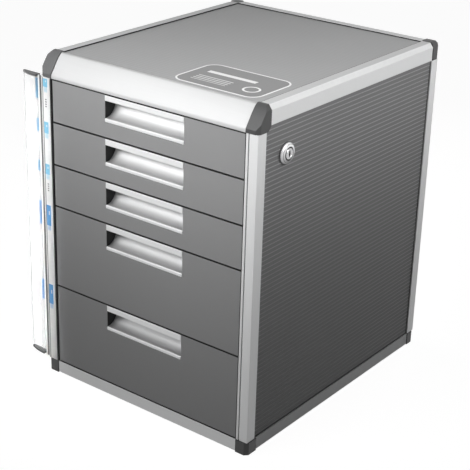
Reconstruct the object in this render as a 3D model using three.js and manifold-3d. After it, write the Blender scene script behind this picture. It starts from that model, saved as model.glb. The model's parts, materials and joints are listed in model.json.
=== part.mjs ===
// Desktop file drawer: an aluminium frame with moulded corners, ribbed panels, five drawers,
// a side lock that holds all drawers, and a hinged index wing at the front left.
// Millimetres. The front faces -Y, the right side faces +X, up is +Z.
import * as THREE from 'three';
import { mergeVertices } from 'three/addons/utils/BufferGeometryUtils.js';
import Module from 'manifold-3d';

const wasm = await Module();
wasm.setup();

// Cabinet
const cabinetWidth = 303;
const cabinetDepth = 355;
const clearance = 0.3;
const overrun = 1;
const cornerProud = 0.8;

// Drawer levels, top to bottom
const shallowPitch = 50.5;
const deepPitch = 101.4;
const levelPitches = [shallowPitch, shallowPitch, shallowPitch, deepPitch, deepPitch];

// Frame profiles
const profileWall = 1.6;
const postWidth = 14.9;
const frontPostDepth = 14.3;
const rearPostDepth = 13.5;
const postLineInset = 2.8;
const postLineWidth = 1.2;
const postLineDepth = 0.7;
const bottomRailHeight = 14.8;
const railWidth = 14.6;
const topRailHeight = 21.2;
const railChamferWidth = 4.2;
const railChamferHeight = 5.4;
const noseHeight = 27;
const noseDepth = 19;
const noseLip = 4;
const noseTopRun = 3.5;
const noseSlantDepth = noseDepth - noseTopRun;
const noseWall = 2;
const noseGrooveDepth = 1.8;
const noseBendShare = 0.4;
const noseSteps = 7;
const noseSpigotHeight = 8.6;

// Panels
const panelThickness = 2.4;
const panelInset = 1.8;
const topPanelInset = 1.5;
const grooveDepth = 4;
const bottomPanelRaise = 3.2;

// Moulded corners
const capBehindNose = 2.4;
const frontCapLength = noseDepth + capBehindNose;
const frontCapWidth = 16.4;
const frontBlockLength = 17.6;
const rearCornerLength = 14.3;
const cornerWidth = 16;
const cornerChamfer = 4;
const capTuck = 4.5;
const spigotLength = 12;

// Drawers
const drawerRecess = 1;
const frontGap = 1.4;
const frontSideGap = 1.2;
const frontDepth = 20.4;
const frontWall = 2.5;
const frontFlange = 2;
const trayWall = 1.8;
const trayBackGap = 8;
const trayTopDrop = 5;
const trayFloorRaise = 3.6;
const trayFlangeReach = 5.6;
const trayFlangeThickness = 2;
const lugReach = 4.8;
const lugLength = 6;
const lugHeight = 6;
const lugDrop = 1;

// Handles
const handleWidth = 110;
const handleHeight = 31.5;
const handleProud = 0.4;
const handleSheet = 1.6;
const handleTopLip = 7.6;
const handleBottomLip = 4.2;
const scoopDepth = 18;
const scoopSteps = 9;
const cheekThickness = 1.8;

// Runners inside the cabinet
const runnerPlate = 2;
const runnerRib = 1.8;
const runnerRibGap = 0.9;

// Lock
const lockSetback = 51;
const lockDrop = 31.2;
const bezelRadius = 12;
const bezelHeight = 4.6;
const bezelFootShare = 0.25;
const bezelCrownShare = 0.62;
const bezelShoulderShare = 0.93;
const bezelRimShare = 0.78;
const barrelRadius = 9;
const barrelLength = 13;
const plugRadius = 6;
const plugProud = 0.4;
const keyholeWidth = 1.4;
const keyholeHeight = 6.4;
const keyholeDepth = 5;
const nutThickness = 2.7;
const nutRadius = 13;
const camThickness = 2;
const camRadius = 7.4;
const camGap = 0.5;
const camBarGap = 1.5;
const tailRadius = 3;
const camPinOrbit = 4.5;
const camPinRadius = 1.4;
const camSlotPlay = 0.6;
const barThickness = 3;
const barGap = 1;
const barHalfWidth = 8;
const fingerLength = 5;
const fingerHeight = 6;
const fingerGap = 1;
const fingerDrop = 0.6;
const fingerTipGap = 1.4;
const windowPlay = 0.6;
const guideWall = 1.5;
const guideHeight = 12;
const guideShares = [0.2, 0.62];

// Index wing and strip
const hingeReach = 5.3;
const hingeSetback = 4.2;
const beadRadius = 1.4;
const socketWall = 1.35;
const socketStart = -145;
const socketEnd = 60;
const socketSteps = 12;
const neckThickness = 1;
const wingReach = 28.5;
const wingRoot = 4;
const wingFrontBulge = 3.6;
const wingTipSet = 1.4;
const wingBackSet = 2.8;
const wingSkin = 1.2;
const wingSteps = 8;
const wingCapThickness = 2.4;
const wingCapLip = 0.8;
const cardThickness = 0.5;
const stripThickness = 0.5;
const stripWidth = 12.4;
const stripSideInset = 1;

// Screws in the back
const screwHeadRadius = 3;
const screwHeadHeight = 1.4;
const screwRadius = 1.3;
const screwHoleRadius = 1.6;
const screwLength = 6;
const screwShares = [0.08, 0.92];
const screwSides = 10;

// Derived places of the frame
const frameHalf = cabinetWidth / 2 - cornerProud;
const frontY = cornerProud - cabinetDepth / 2;
const rearY = -frontY;
const baseZ = cornerProud;
const railTopZ = baseZ + bottomRailHeight;
const openingBottom = railTopZ + clearance;
const openingTop = openingBottom + levelPitches.reduce((sum, pitch) => sum + pitch, 0);
const topZ = openingTop + noseHeight;
const topRailBottom = topZ - topRailHeight;
const panelOuter = frameHalf - panelInset;
const panelInner = panelOuter - panelThickness;
const postInner = frameHalf - postWidth;
const railInner = frameHalf - railWidth;
const grooveNear = panelInset - clearance;
const grooveFar = panelInset + panelThickness + clearance;
const seat = grooveDepth - clearance;
const topPanelTop = topZ - topPanelInset;
const topPanelBottom = topPanelTop - panelThickness;
const bottomPanelBottom = baseZ + bottomPanelRaise;
const bottomPanelTop = bottomPanelBottom + panelThickness;
const frontCapEnd = frontY - cornerProud + frontCapLength;
const frontBlockEnd = frontY - cornerProud + frontBlockLength;
const rearCornerStart = rearY + cornerProud - rearCornerLength;

// Derived places of the drawers and runners
const frontFaceY = frontY + drawerRecess;
const frontBackY = frontFaceY + frontDepth;
const mechanismWidth = barrelLength + camGap + camThickness + camBarGap + barThickness + barGap
  + runnerPlate + runnerRibGap + trayFlangeReach;
const trayHalfWidth = panelInner - mechanismWidth;
const frontHalf = postInner - frontSideGap;
const trayFrontY = frontBackY + clearance;
const trayBackY = rearY - panelInset - panelThickness - trayBackGap;
const flangeHalf = trayHalfWidth + trayFlangeReach;
const runnerInner = flangeHalf + runnerRibGap;
const runnerOuter = runnerInner + runnerPlate;
const runnerFrontY = trayFrontY + clearance;
const runnerBackY = rearY - Math.max(rearPostDepth, railWidth) - clearance;
const lugHalf = trayHalfWidth + lugReach;

// Derived places of the lock
const lockY = frontY + lockSetback;
const lockZ = openingTop - lockDrop;
const bezelBase = panelOuter + clearance;
const bezelTop = bezelBase + bezelHeight;
const barrelEnd = panelInner - barrelLength;
const camOuter = barrelEnd - camGap;
const camInner = camOuter - camThickness;
const barInner = runnerOuter + barGap;
const barOuter = barInner + barThickness;
const barFrontY = lockY - barHalfWidth;
const barTravel = camPinOrbit * Math.SQRT2;
const camPinOffset = camPinOrbit * Math.SQRT1_2;

// Derived places of the index wing
const hingeX = -(frameHalf + hingeReach);
const hingeY = frontY + hingeSetback;
const socketInner = beadRadius + clearance;
const socketOuter = socketInner + socketWall;
const wingBottom = openingBottom + clearance;
const wingTop = openingTop - clearance;

// Materials
function finish(color, metalness, roughness, opacity = 1) {
  return { color, metalness, roughness, opacity, transparent: opacity < 1 };
}

const finishes = {
  aluminium: finish(0xc4c6c8, 0.9, 0.38),
  corner: finish(0x56585b, 0, 0.5),
  panel: finish(0x5d5f62, 0.25, 0.5),
  front: finish(0x6b6d70, 0.2, 0.42),
  handle: finish(0xd2d4d6, 0.85, 0.3),
  tray: finish(0x55575a, 0, 0.55),
  inner: finish(0x3a3c3e, 0, 0.6),
  steel: finish(0xb0b2b4, 0.9, 0.4),
  chrome: finish(0xdddfe0, 1, 0.12),
  clear: finish(0xe9eef0, 0, 0.15, 0.55),
  card: finish(0xf2f3f3, 0, 0.7),
};

// Solids
function solidOf(geometry) {
  const bare = geometry.clone();
  bare.deleteAttribute('normal');
  bare.deleteAttribute('uv');
  const merged = mergeVertices(bare);
  const vertProperties = new Float32Array(merged.attributes.position.array);
  const triVerts = new Uint32Array(merged.index.array);
  return new wasm.Manifold(new wasm.Mesh({ numProp: 3, vertProperties, triVerts }));
}

function geometryOf(solid) {
  const mesh = solid.getMesh();
  const geometry = new THREE.BufferGeometry();
  geometry.setAttribute('position', new THREE.BufferAttribute(mesh.vertProperties, 3));
  geometry.setIndex(new THREE.BufferAttribute(mesh.triVerts, 1));
  const faceted = geometry.toNonIndexed();
  faceted.computeVertexNormals();
  return faceted;
}

function join(first, ...others) {
  return geometryOf(others.reduce((sum, other) => sum.add(solidOf(other)), solidOf(first)));
}

function cut(first, ...others) {
  return geometryOf(others.reduce((rest, other) => rest.subtract(solidOf(other)), solidOf(first)));
}

function common(first, second) {
  return geometryOf(solidOf(first).intersect(solidOf(second)));
}

function block(low, high) {
  const size = high.map((value, axis) => value - low[axis]);
  const middle = high.map((value, axis) => (value + low[axis]) / 2);
  return new THREE.BoxGeometry(...size).translate(...middle);
}

// The same box with room round it for a running or touching fit.
function roomFor([low, high], room = clearance) {
  return block(low.map((value) => value - room), high.map((value) => value + room));
}

function extruded(points, length) {
  const shape = new THREE.Shape(points.map(([a, b]) => new THREE.Vector2(a, b)));
  return new THREE.ExtrudeGeometry(shape, { depth: length, bevelEnabled: false });
}

// A straight bar of the given outline, with an open hollow right through it where one is given.
function prism(points, length, hollow) {
  const bar = extruded(points, length);
  if (!hollow) return bar;
  return cut(bar, extruded(hollow, length + 2 * overrun).translate(0, 0, -overrun));
}

// Outline in (x, y), carried along Z.
function alongZ(points, from, to, hollow) {
  return prism(points, to - from, hollow).translate(0, 0, from);
}

// Outline in (x, z), carried along Y.
function alongY(points, from, to, hollow) {
  return prism(points, to - from, hollow).rotateX(Math.PI / 2).translate(0, to, 0);
}

// Outline in (y, z), carried along X.
function alongX(points, from, to, hollow) {
  const turn = new THREE.Matrix4().makeBasis(
    new THREE.Vector3(0, 1, 0),
    new THREE.Vector3(0, 0, 1),
    new THREE.Vector3(1, 0, 0),
  );
  return prism(points, to - from, hollow).applyMatrix4(turn).translate(from, 0, 0);
}

// A cylinder whose axis runs along X from one place to another, at the lock's height.
function lockRod(radius, from, to, sides, y = lockY, z = lockZ) {
  const rod = new THREE.CylinderGeometry(radius, radius, to - from, sides).rotateZ(Math.PI / 2);
  return rod.translate((from + to) / 2, y, z);
}

function rectangle(a0, a1, b0, b1) {
  return [[a0, b0], [a1, b0], [a1, b1], [a0, b1]];
}

// The left-hand copy of a right-hand piece.
function mirrored(geometry) {
  const copy = geometry.index ? geometry.toNonIndexed() : geometry.clone();
  copy.scale(-1, 1, 1);
  const place = copy.attributes.position;
  for (let first = 0; first < place.count; first += 3) {
    const second = new THREE.Vector3().fromBufferAttribute(place, first + 1);
    const third = new THREE.Vector3().fromBufferAttribute(place, first + 2);
    place.setXYZ(first + 1, third.x, third.y, third.z);
    place.setXYZ(first + 2, second.x, second.y, second.z);
  }
  copy.computeVertexNormals();
  return copy;
}

const cabinet = new THREE.Group();

function addPiece(name, geometry, look) {
  const mesh = new THREE.Mesh(geometry, new THREE.MeshStandardMaterial(finishes[look]));
  mesh.name = name;
  cabinet.add(mesh);
}

function addPair(suffix, rightGeometry, look) {
  addPiece(`right_${suffix}`, rightGeometry, look);
  addPiece(`left_${suffix}`, mirrored(rightGeometry), look);
}

// Panels as boxes, so that the corners can leave room for them
const sidePanelBox = [
  [panelInner, frontY + frontPostDepth - seat, railTopZ - seat],
  [panelOuter, rearY - rearPostDepth + seat, topRailBottom + seat],
];
const topPanelBox = [
  [-railInner - seat, frontY + noseDepth - noseGrooveDepth + clearance, topPanelBottom],
  [railInner + seat, rearY - railWidth + seat, topPanelTop],
];
const bottomPanelBox = [
  [-railInner - seat, frontY + railWidth - seat, bottomPanelBottom],
  [railInner + seat, rearY - railWidth + seat, bottomPanelTop],
];
const backPanelBox = [
  [-postInner - seat, rearY - panelInset - panelThickness, railTopZ - seat],
  [postInner + seat, rearY - panelInset, topRailBottom + seat],
];
const panelBoxes = [sidePanelBox, topPanelBox, bottomPanelBox, backPanelBox];

// Hollows of the profiles, as rectangles that the corners' spigots enter
const frontPostHollow = {
  x: [postInner + profileWall, frameHalf - profileWall],
  y: [frontY + profileWall, frontY + frontPostDepth - grooveDepth - profileWall],
};
const rearPostHollow = {
  x: [postInner + grooveDepth + profileWall, frameHalf - profileWall],
  y: [rearY - rearPostDepth + grooveDepth + profileWall, rearY - profileWall],
};
const bottomHollow = {
  a: [railInner + grooveDepth + profileWall, frameHalf - profileWall],
  z: [baseZ + profileWall, railTopZ - grooveDepth - profileWall],
};
const topHollow = {
  a: [railInner + profileWall, frameHalf - profileWall],
  z: [topRailBottom + grooveDepth + profileWall, topZ - railChamferHeight - profileWall / 2],
};

// Front post: hollow, with a slot for the side panel and a fine line down its face.
function frontPost() {
  const back = frontY + frontPostDepth;
  const lineX = postInner + postLineInset;
  const points = [
    [postInner, frontY],
    [lineX, frontY],
    [lineX, frontY + postLineDepth],
    [lineX + postLineWidth, frontY + postLineDepth],
    [lineX + postLineWidth, frontY],
    [frameHalf, frontY],
    [frameHalf, back],
    [frameHalf - grooveNear, back],
    [frameHalf - grooveNear, back - grooveDepth],
    [frameHalf - grooveFar, back - grooveDepth],
    [frameHalf - grooveFar, back],
    [postInner, back],
  ];
  const hollow = rectangle(...frontPostHollow.x, ...frontPostHollow.y);
  return alongZ(points, openingBottom, openingTop, hollow);
}

// Rear post: hollow, with slots for the side panel and the back panel.
function rearPost() {
  const front = rearY - rearPostDepth;
  const points = [
    [postInner, front],
    [frameHalf - grooveFar, front],
    [frameHalf - grooveFar, front + grooveDepth],
    [frameHalf - grooveNear, front + grooveDepth],
    [frameHalf - grooveNear, front],
    [frameHalf, front],
    [frameHalf, rearY],
    [postInner, rearY],
    [postInner, rearY - grooveNear],
    [postInner + grooveDepth, rearY - grooveNear],
    [postInner + grooveDepth, rearY - grooveFar],
    [postInner, rearY - grooveFar],
  ];
  const hollow = rectangle(...rearPostHollow.x, ...rearPostHollow.y);
  const post = alongZ(points, openingBottom, topRailBottom - clearance, hollow);
  const rightPlaces = screwPlaces().filter(([x]) => x > 0);
  return cut(post, ...screwHoles(rightPlaces, rearY - screwLength, rearY + overrun));
}

// Bottom rail outline in (outward, z), with a slot for the bottom panel and one for a wall panel.
function bottomRailOutline(outer, wallSlot) {
  const inner = outer - railWidth;
  const slotLow = bottomPanelBottom - clearance;
  const slotHigh = bottomPanelTop + clearance;
  const slot = [
    [outer - grooveNear, railTopZ],
    [outer - grooveNear, railTopZ - grooveDepth],
    [outer - grooveFar, railTopZ - grooveDepth],
    [outer - grooveFar, railTopZ],
  ];
  return [
    [inner, baseZ],
    [outer, baseZ],
    [outer, railTopZ],
    ...(wallSlot ? slot : []),
    [inner, railTopZ],
    [inner, slotHigh],
    [inner + grooveDepth, slotHigh],
    [inner + grooveDepth, slotLow],
    [inner, slotLow],
  ];
}

// Top rail outline in (outward, z), chamfered outside, with slots for the top and wall panels.
function topRailOutline(outer) {
  const inner = outer - railWidth;
  const slotLow = topPanelBottom - clearance;
  const slotHigh = topPanelTop + clearance;
  return [
    [inner, topRailBottom],
    [outer - grooveFar, topRailBottom],
    [outer - grooveFar, topRailBottom + grooveDepth],
    [outer - grooveNear, topRailBottom + grooveDepth],
    [outer - grooveNear, topRailBottom],
    [outer, topRailBottom],
    [outer, topZ - railChamferHeight],
    [outer - railChamferWidth, topZ],
    [inner, topZ],
    [inner, slotHigh],
    [inner + grooveDepth, slotHigh],
    [inner + grooveDepth, slotLow],
    [inner, slotLow],
  ];
}

// A hollow's rectangle moved from the side rails to a rail whose outer face is elsewhere.
function railHollow(hollow, outer) {
  const across = hollow.a.map((value) => value + outer - frameHalf);
  return rectangle(...across, ...hollow.z);
}

// The same outline seen from the other end, for rails whose outward direction is -Y.
function flipped(points) {
  return points.map(([a, b]) => [-a, b]);
}

function sideRails() {
  const sideBottom = alongY(bottomRailOutline(frameHalf, true), frontBlockEnd + clearance,
    rearCornerStart - clearance, railHollow(bottomHollow, frameHalf));
  const sideTop = alongY(topRailOutline(frameHalf), frontCapEnd + clearance,
    rearCornerStart - clearance, railHollow(topHollow, frameHalf));
  addPair('bottom_rail', sideBottom, 'aluminium');
  addPair('top_rail', sideTop, 'aluminium');
}

function crossRails() {
  const end = cabinetWidth / 2 - cornerWidth - clearance;
  const rearBottom = alongX(bottomRailOutline(rearY, true), -end, end, railHollow(bottomHollow, rearY));
  const rearTop = alongX(topRailOutline(rearY), -end, end, railHollow(topHollow, rearY));
  const frontBottom = alongX(flipped(bottomRailOutline(rearY, false)), -end, end,
    flipped(railHollow(bottomHollow, rearY)));
  addPiece('rear_bottom_rail', rearBottom, 'aluminium');
  addPiece('rear_top_rail', rearTop, 'aluminium');
  addPiece('front_bottom_rail', frontBottom, 'aluminium');
}

// Rounded front of the top rail in (depth, height), grown outwards for the corner caps:
// a short upright lip, a slant, and a quadratic bend into the flat top.
function noseFace(grow) {
  const bendStart = new THREE.Vector2(
    noseSlantDepth * noseBendShare - grow,
    noseLip + (noseHeight - noseLip) * noseBendShare + grow,
  );
  const corner = new THREE.Vector2(noseSlantDepth - grow, noseHeight + grow);
  const bendEnd = new THREE.Vector2(noseDepth - grow, noseHeight + grow);
  const bend = new THREE.QuadraticBezierCurve(bendStart, corner, bendEnd);
  const bent = bend.getPoints(noseSteps).map((point) => [point.x, point.y]);
  return [[-grow, 0], [-grow, noseLip + grow], ...bent];
}

function atNose([depth, height]) {
  return [frontY + depth, openingTop + height];
}

// How deep the nose rail's hollow starts at a height above the lip: the slant, a shell behind its face.
function noseHollowDepth(height) {
  const slope = noseSlantDepth / (noseHeight - noseLip);
  return noseWall * Math.SQRT2 + slope * (height - noseLip);
}

function frontTopRail() {
  const slotLow = topPanelBottom - clearance - openingTop;
  const slotHigh = topPanelTop + clearance - openingTop;
  const hollowTop = slotLow - noseWall;
  const points = [
    ...noseFace(0),
    [noseDepth, slotHigh],
    [noseDepth - noseGrooveDepth, slotHigh],
    [noseDepth - noseGrooveDepth, slotLow],
    [noseDepth, slotLow],
    [noseDepth, 0],
  ];
  const hollow = [
    [noseHollowDepth(noseLip), noseWall],
    [noseHollowDepth(noseLip), noseLip],
    [noseHollowDepth(hollowTop), hollowTop],
    [noseDepth - noseWall, hollowTop],
    [noseDepth - noseWall, noseWall],
  ];
  const end = cabinetWidth / 2 - frontCapWidth - clearance;
  addPiece('front_top_rail', alongX(points.map(atNose), -end, end, hollow.map(atNose)), 'aluminium');
}

// Spigots: solid tongues of a corner piece that enter the hollow profiles.
function tongue([x0, x1], [y0, y1], [z0, z1]) {
  return block([x0, y0, z0], [x1, y1, z1]);
}

function inset([low, high]) {
  return [low + clearance, high - clearance];
}

// The vertical outer edge of a corner is planed off at 45 degrees.
function edgePlane(outerY, low, high) {
  const outerX = cabinetWidth / 2;
  const inward = outerY < 0 ? 1 : -1;
  const points = [
    [outerX + overrun, outerY - inward * overrun],
    [outerX + overrun, outerY + inward * (cornerChamfer + overrun)],
    [outerX - cornerChamfer - overrun, outerY - inward * overrun],
  ];
  return alongZ(points, low - overrun, high + overrun);
}

// Bottom corner: a block that is also the foot, with a tongue for the post and one for each rail.
function bottomBlock(outerY, endY, postHollow) {
  const outerX = cabinetWidth / 2;
  const innerX = outerX - cornerWidth;
  const inward = outerY < 0 ? 1 : -1;
  const sideReach = [endY - inward * overrun, endY + inward * spigotLength].sort((a, b) => a - b);
  const crossY = bottomHollow.a.map((value) => -inward * (value + rearY - frameHalf)).sort((a, b) => a - b);
  const body = cut(block([innerX, Math.min(outerY, endY), 0], [outerX, Math.max(outerY, endY), railTopZ]),
    edgePlane(outerY, 0, railTopZ));
  const whole = join(body,
    tongue(inset(postHollow.x), inset(postHollow.y), [railTopZ - overrun, openingBottom + spigotLength]),
    tongue(inset(bottomHollow.a), sideReach, inset(bottomHollow.z)),
    tongue([innerX - spigotLength, innerX + overrun], inset(crossY), inset(bottomHollow.z)));
  return cut(whole, ...panelBoxes.map((box) => roomFor(box)));
}

// Side profile of a top cap in (outward, z), the top rail's chamfered face grown outwards.
function capSide(low) {
  const outer = cabinetWidth / 2;
  const top = topZ + cornerProud;
  return [
    [postInner - spigotLength, low],
    [outer, low],
    [outer, top - railChamferHeight],
    [outer - railChamferWidth, top],
    [postInner - spigotLength, top],
  ];
}

function frontCap() {
  const outerX = cabinetWidth / 2;
  const innerX = outerX - frontCapWidth;
  const low = openingTop + clearance;
  const face = noseFace(cornerProud).map(atNose);
  const profile = [...face, [frontCapEnd, topZ + cornerProud], [frontCapEnd, low + capTuck],
    [frontCapEnd - capTuck, low], [frontY - cornerProud, low]];
  const lifted = profile.filter(([, z]) => z >= low);
  const shell = common(alongX(lifted, innerX, outerX), alongY(capSide(low), frontY - 2 * overrun, rearY));
  const trimmed = cut(shell, edgePlane(frontY - cornerProud, low, topZ));
  const spigotLow = noseWall + clearance;
  const spigotHigh = spigotLow + noseSpigotHeight;
  const spigotDepths = [noseHollowDepth(spigotHigh) + clearance, noseDepth - noseWall - clearance];
  const whole = join(trimmed,
    tongue(inset(frontPostHollow.x), inset(frontPostHollow.y), [openingTop - spigotLength, low + overrun]),
    tongue(inset(topHollow.a), [frontCapEnd - overrun, frontCapEnd + spigotLength], inset(topHollow.z)),
    tongue([innerX - spigotLength, innerX + overrun], spigotDepths.map((depth) => frontY + depth),
      [openingTop + spigotLow, openingTop + spigotHigh]));
  return cut(whole, roomFor(sidePanelBox), roomFor(topPanelBox));
}

function rearCap() {
  const outerX = cabinetWidth / 2;
  const outerY = cabinetDepth / 2;
  const innerX = outerX - cornerWidth;
  const low = topRailBottom;
  const rearProfile = [
    [rearCornerStart, low],
    [outerY, low],
    [outerY, topZ + cornerProud - railChamferHeight],
    [outerY - railChamferWidth, topZ + cornerProud],
    [rearCornerStart, topZ + cornerProud],
  ];
  const shell = common(alongX(rearProfile, innerX, outerX), alongY(capSide(low), frontY, rearY + 2 * overrun));
  const trimmed = cut(shell, edgePlane(outerY, low, topZ));
  const crossY = topHollow.a.map((value) => value + rearY - frameHalf);
  const whole = join(trimmed,
    tongue(inset(rearPostHollow.x), inset(rearPostHollow.y), [low - clearance - spigotLength, low + overrun]),
    tongue(inset(topHollow.a), [rearCornerStart - spigotLength, rearCornerStart + overrun], inset(topHollow.z)),
    tongue([innerX - spigotLength, innerX + overrun], inset(crossY), inset(topHollow.z)));
  return cut(whole, roomFor(sidePanelBox), roomFor(topPanelBox), roomFor(backPanelBox));
}

function frame() {
  addPair('front_post', frontPost(), 'aluminium');
  addPair('rear_post', rearPost(), 'aluminium');
  sideRails();
  crossRails();
  frontTopRail();
  addPair('front_top_cap', frontCap(), 'corner');
  addPair('rear_top_cap', rearCap(), 'corner');
  addPair('front_bottom_block', bottomBlock(frontY - cornerProud, frontBlockEnd, frontPostHollow), 'corner');
  addPair('rear_bottom_block', bottomBlock(rearY + cornerProud, rearCornerStart, rearPostHollow), 'corner');
}

// Screws through the back panel into blind holes in the rear posts
function screwPlaces() {
  const x = postInner + grooveDepth / 2;
  const heights = screwShares.map((share) => openingBottom + share * (topRailBottom - openingBottom));
  return [-x, x].flatMap((side) => heights.map((z) => [side, z]));
}

// A turned shape whose profile is in (radius, along), its axis along +Y from the given place.
function turnedAlongY(profile, x, y, z) {
  const points = profile.map(([radius, along]) => new THREE.Vector2(radius, along));
  return new THREE.LatheGeometry(points, screwSides).translate(x, y, z);
}

// Holes for the screws, with room round them, from one place to another along Y.
function screwHoles(places, from, to) {
  const profile = [[0, 0], [screwHoleRadius, 0], [screwHoleRadius, to - from], [0, to - from]];
  return places.map(([x, z]) => turnedAlongY(profile, x, from, z));
}

function backScrews() {
  const profile = [
    [0, -screwLength],
    [screwRadius, -screwLength],
    [screwRadius, 0],
    [screwHeadRadius, 0],
    [screwHeadRadius, screwHeadHeight / 2],
    [screwHeadRadius / 2, screwHeadHeight],
    [0, screwHeadHeight],
  ];
  screwPlaces().forEach(([x, z], index) => {
    addPiece(`back_screw_${index + 1}`, turnedAlongY(profile, x, rearY + clearance, z), 'steel');
  });
}

function panels() {
  const lockHole = lockRod(barrelRadius + clearance, panelInner - overrun, panelOuter + overrun, 24);
  addPiece('right_panel', cut(block(...sidePanelBox), lockHole), 'panel');
  addPiece('left_panel', mirrored(block(...sidePanelBox)), 'panel');
  addPiece('top_panel', block(...topPanelBox), 'panel');
  addPiece('bottom_panel', block(...bottomPanelBox), 'inner');
  const holes = screwHoles(screwPlaces(), rearY - panelInset - panelThickness - overrun, rearY);
  addPiece('back_panel', cut(block(...backPanelBox), ...holes), 'panel');
}

// Drawer levels: the top and bottom of each opening, and the heights that tray, runner and lock share
function drawerLevels() {
  let top = openingTop;
  return levelPitches.map((pitch, index) => {
    const level = { index, top, bottom: top - pitch };
    level.frontTop = level.top - frontGap / 2;
    level.frontBottom = level.bottom + frontGap / 2;
    level.flangeTop = level.top - trayTopDrop;
    level.flangeBottom = level.flangeTop - trayFlangeThickness;
    level.ribTop = level.flangeBottom - clearance;
    level.ribBottom = level.ribTop - runnerRib;
    level.lugTop = level.ribBottom - lugDrop;
    level.lugBottom = level.lugTop - lugHeight;
    level.fingerTop = level.lugBottom - fingerDrop;
    level.fingerBottom = level.fingerTop - fingerHeight;
    level.trayBottom = level.bottom + trayFloorRaise;
    top -= pitch;
    return level;
  });
}

const levels = drawerLevels();

// Handle section in (y, z): a top lip, a scoop that is a quarter ellipse, and a bottom lip.
function handle(level) {
  const front = frontFaceY - handleProud;
  const top = level.frontTop;
  const scoopTop = top - handleTopLip;
  const scoopRun = scoopDepth - handleSheet;
  const scoopFall = handleHeight - handleTopLip - handleBottomLip;
  const arc = (grow) => Array.from({ length: scoopSteps + 1 }, (_, step) => {
    const turn = (step / scoopSteps) * (Math.PI / 2);
    return [
      front + handleSheet + (scoopRun + grow) * Math.cos(turn),
      scoopTop - (scoopFall + grow) * Math.sin(turn),
    ];
  });
  const low = top - handleHeight;
  const points = [
    [front, top],
    [front, top - handleTopLip],
    [front + handleSheet, top - handleTopLip],
    [front + handleSheet, top - handleSheet],
    [front + scoopDepth, top - handleSheet],
    ...arc(0),
    [front, low + handleBottomLip],
    [front, low],
    [front + handleSheet, low],
    ...arc(handleSheet).reverse(),
    [front + scoopDepth + handleSheet, top],
  ];
  return alongX(points, -handleWidth / 2, handleWidth / 2);
}

// Drawer front: a hollow pan with a window for the handle and a cheek at each end of the window.
function drawerFront(level) {
  const windowHalf = handleWidth / 2 + clearance;
  const windowLow = level.frontTop - handleHeight - clearance;
  const outer = block([-frontHalf, frontFaceY, level.frontBottom], [frontHalf, frontBackY, level.frontTop]);
  const hollow = block(
    [frontFlange - frontHalf, frontFaceY + frontWall, level.frontBottom + frontFlange],
    [frontHalf - frontFlange, frontBackY + overrun, level.frontTop - frontFlange],
  );
  const cheeks = block(
    [-windowHalf - cheekThickness, frontFaceY + frontWall / 2, windowLow - cheekThickness],
    [windowHalf + cheekThickness, frontBackY, level.frontTop],
  );
  const window = block(
    [-windowHalf, frontFaceY - overrun, windowLow],
    [windowHalf, frontBackY + overrun, level.frontTop + overrun],
  );
  return cut(join(cut(outer, hollow), cheeks), window);
}

// Tray: a box open at the top, with a flange along each side that slides in the runners,
// and a lug on its right wall that the lock's finger holds.
function tray(level) {
  const outer = block([-trayHalfWidth, trayFrontY, level.trayBottom], [trayHalfWidth, trayBackY, level.flangeTop]);
  const hollow = block(
    [trayWall - trayHalfWidth, trayFrontY + trayWall, level.trayBottom + trayWall],
    [trayHalfWidth - trayWall, trayBackY - trayWall, level.flangeTop + overrun],
  );
  const flanges = block(
    [-flangeHalf, trayFrontY + frontFlange, level.flangeBottom],
    [flangeHalf, trayBackY, level.flangeTop],
  );
  const lugFrontY = barFrontY + fingerLength + fingerGap;
  const lug = block(
    [trayHalfWidth - trayWall, lugFrontY, level.lugBottom],
    [lugHalf, lugFrontY + lugLength, level.lugTop],
  );
  return cut(join(outer, flanges, lug), hollow);
}

function drawers() {
  levels.forEach((level) => {
    const name = `drawer_${level.index + 1}`;
    addPiece(`${name}_front`, drawerFront(level), 'front');
    addPiece(`${name}_handle`, handle(level), 'handle');
    addPiece(`${name}_tray`, tray(level), 'tray');
  });
}

// Runner: an upright plate with a channel of two ribs for each tray's flange, and two returns
// that hold it off the side panel.
function runner(withWindows) {
  const low = bottomPanelTop + clearance;
  const high = openingTop - clearance;
  const ribTip = trayHalfWidth + runnerRibGap;
  const plate = block([runnerInner, runnerFrontY, low], [runnerOuter, runnerBackY, high]);
  const ribs = levels.flatMap((level) => [
    block([ribTip, runnerFrontY, level.ribBottom], [runnerInner + overrun, runnerBackY, level.ribTop]),
    block([ribTip, runnerFrontY, level.flangeTop + clearance],
      [runnerInner + overrun, runnerBackY, level.flangeTop + clearance + runnerRib]),
  ]);
  const returnAt = (y) => block([runnerInner, y, openingBottom], [panelInner - clearance, y + runnerPlate, high]);
  const returns = [returnAt(runnerFrontY), returnAt(runnerBackY - runnerPlate)];
  const whole = join(plate, ...ribs, ...returns);
  if (!withWindows) return whole;
  const windows = levels.map((level) => block(
    [runnerInner - overrun / 2, barFrontY - windowPlay, level.fingerBottom - windowPlay],
    [runnerOuter + overrun, barFrontY + fingerLength + windowPlay, level.fingerTop + barTravel + windowPlay],
  ));
  return cut(whole, ...windows);
}

// Lock housing: a domed bezel outside the panel and a barrel through it.
function lockHousing() {
  const bore = plugRadius + clearance;
  const profile = [
    [bore, barrelEnd],
    [barrelRadius, barrelEnd],
    [barrelRadius, bezelBase],
    [bezelRadius, bezelBase],
    [bezelRadius, bezelBase + bezelHeight * bezelFootShare],
    [bezelRadius * bezelShoulderShare, bezelBase + bezelHeight * bezelCrownShare],
    [bezelRadius * bezelRimShare, bezelTop],
    [bore, bezelTop],
    [bore, barrelEnd],
  ];
  const points = profile.map(([radius, along]) => new THREE.Vector2(radius, along));
  return new THREE.LatheGeometry(points, 24).rotateZ(-Math.PI / 2).translate(0, lockY, lockZ);
}

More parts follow.
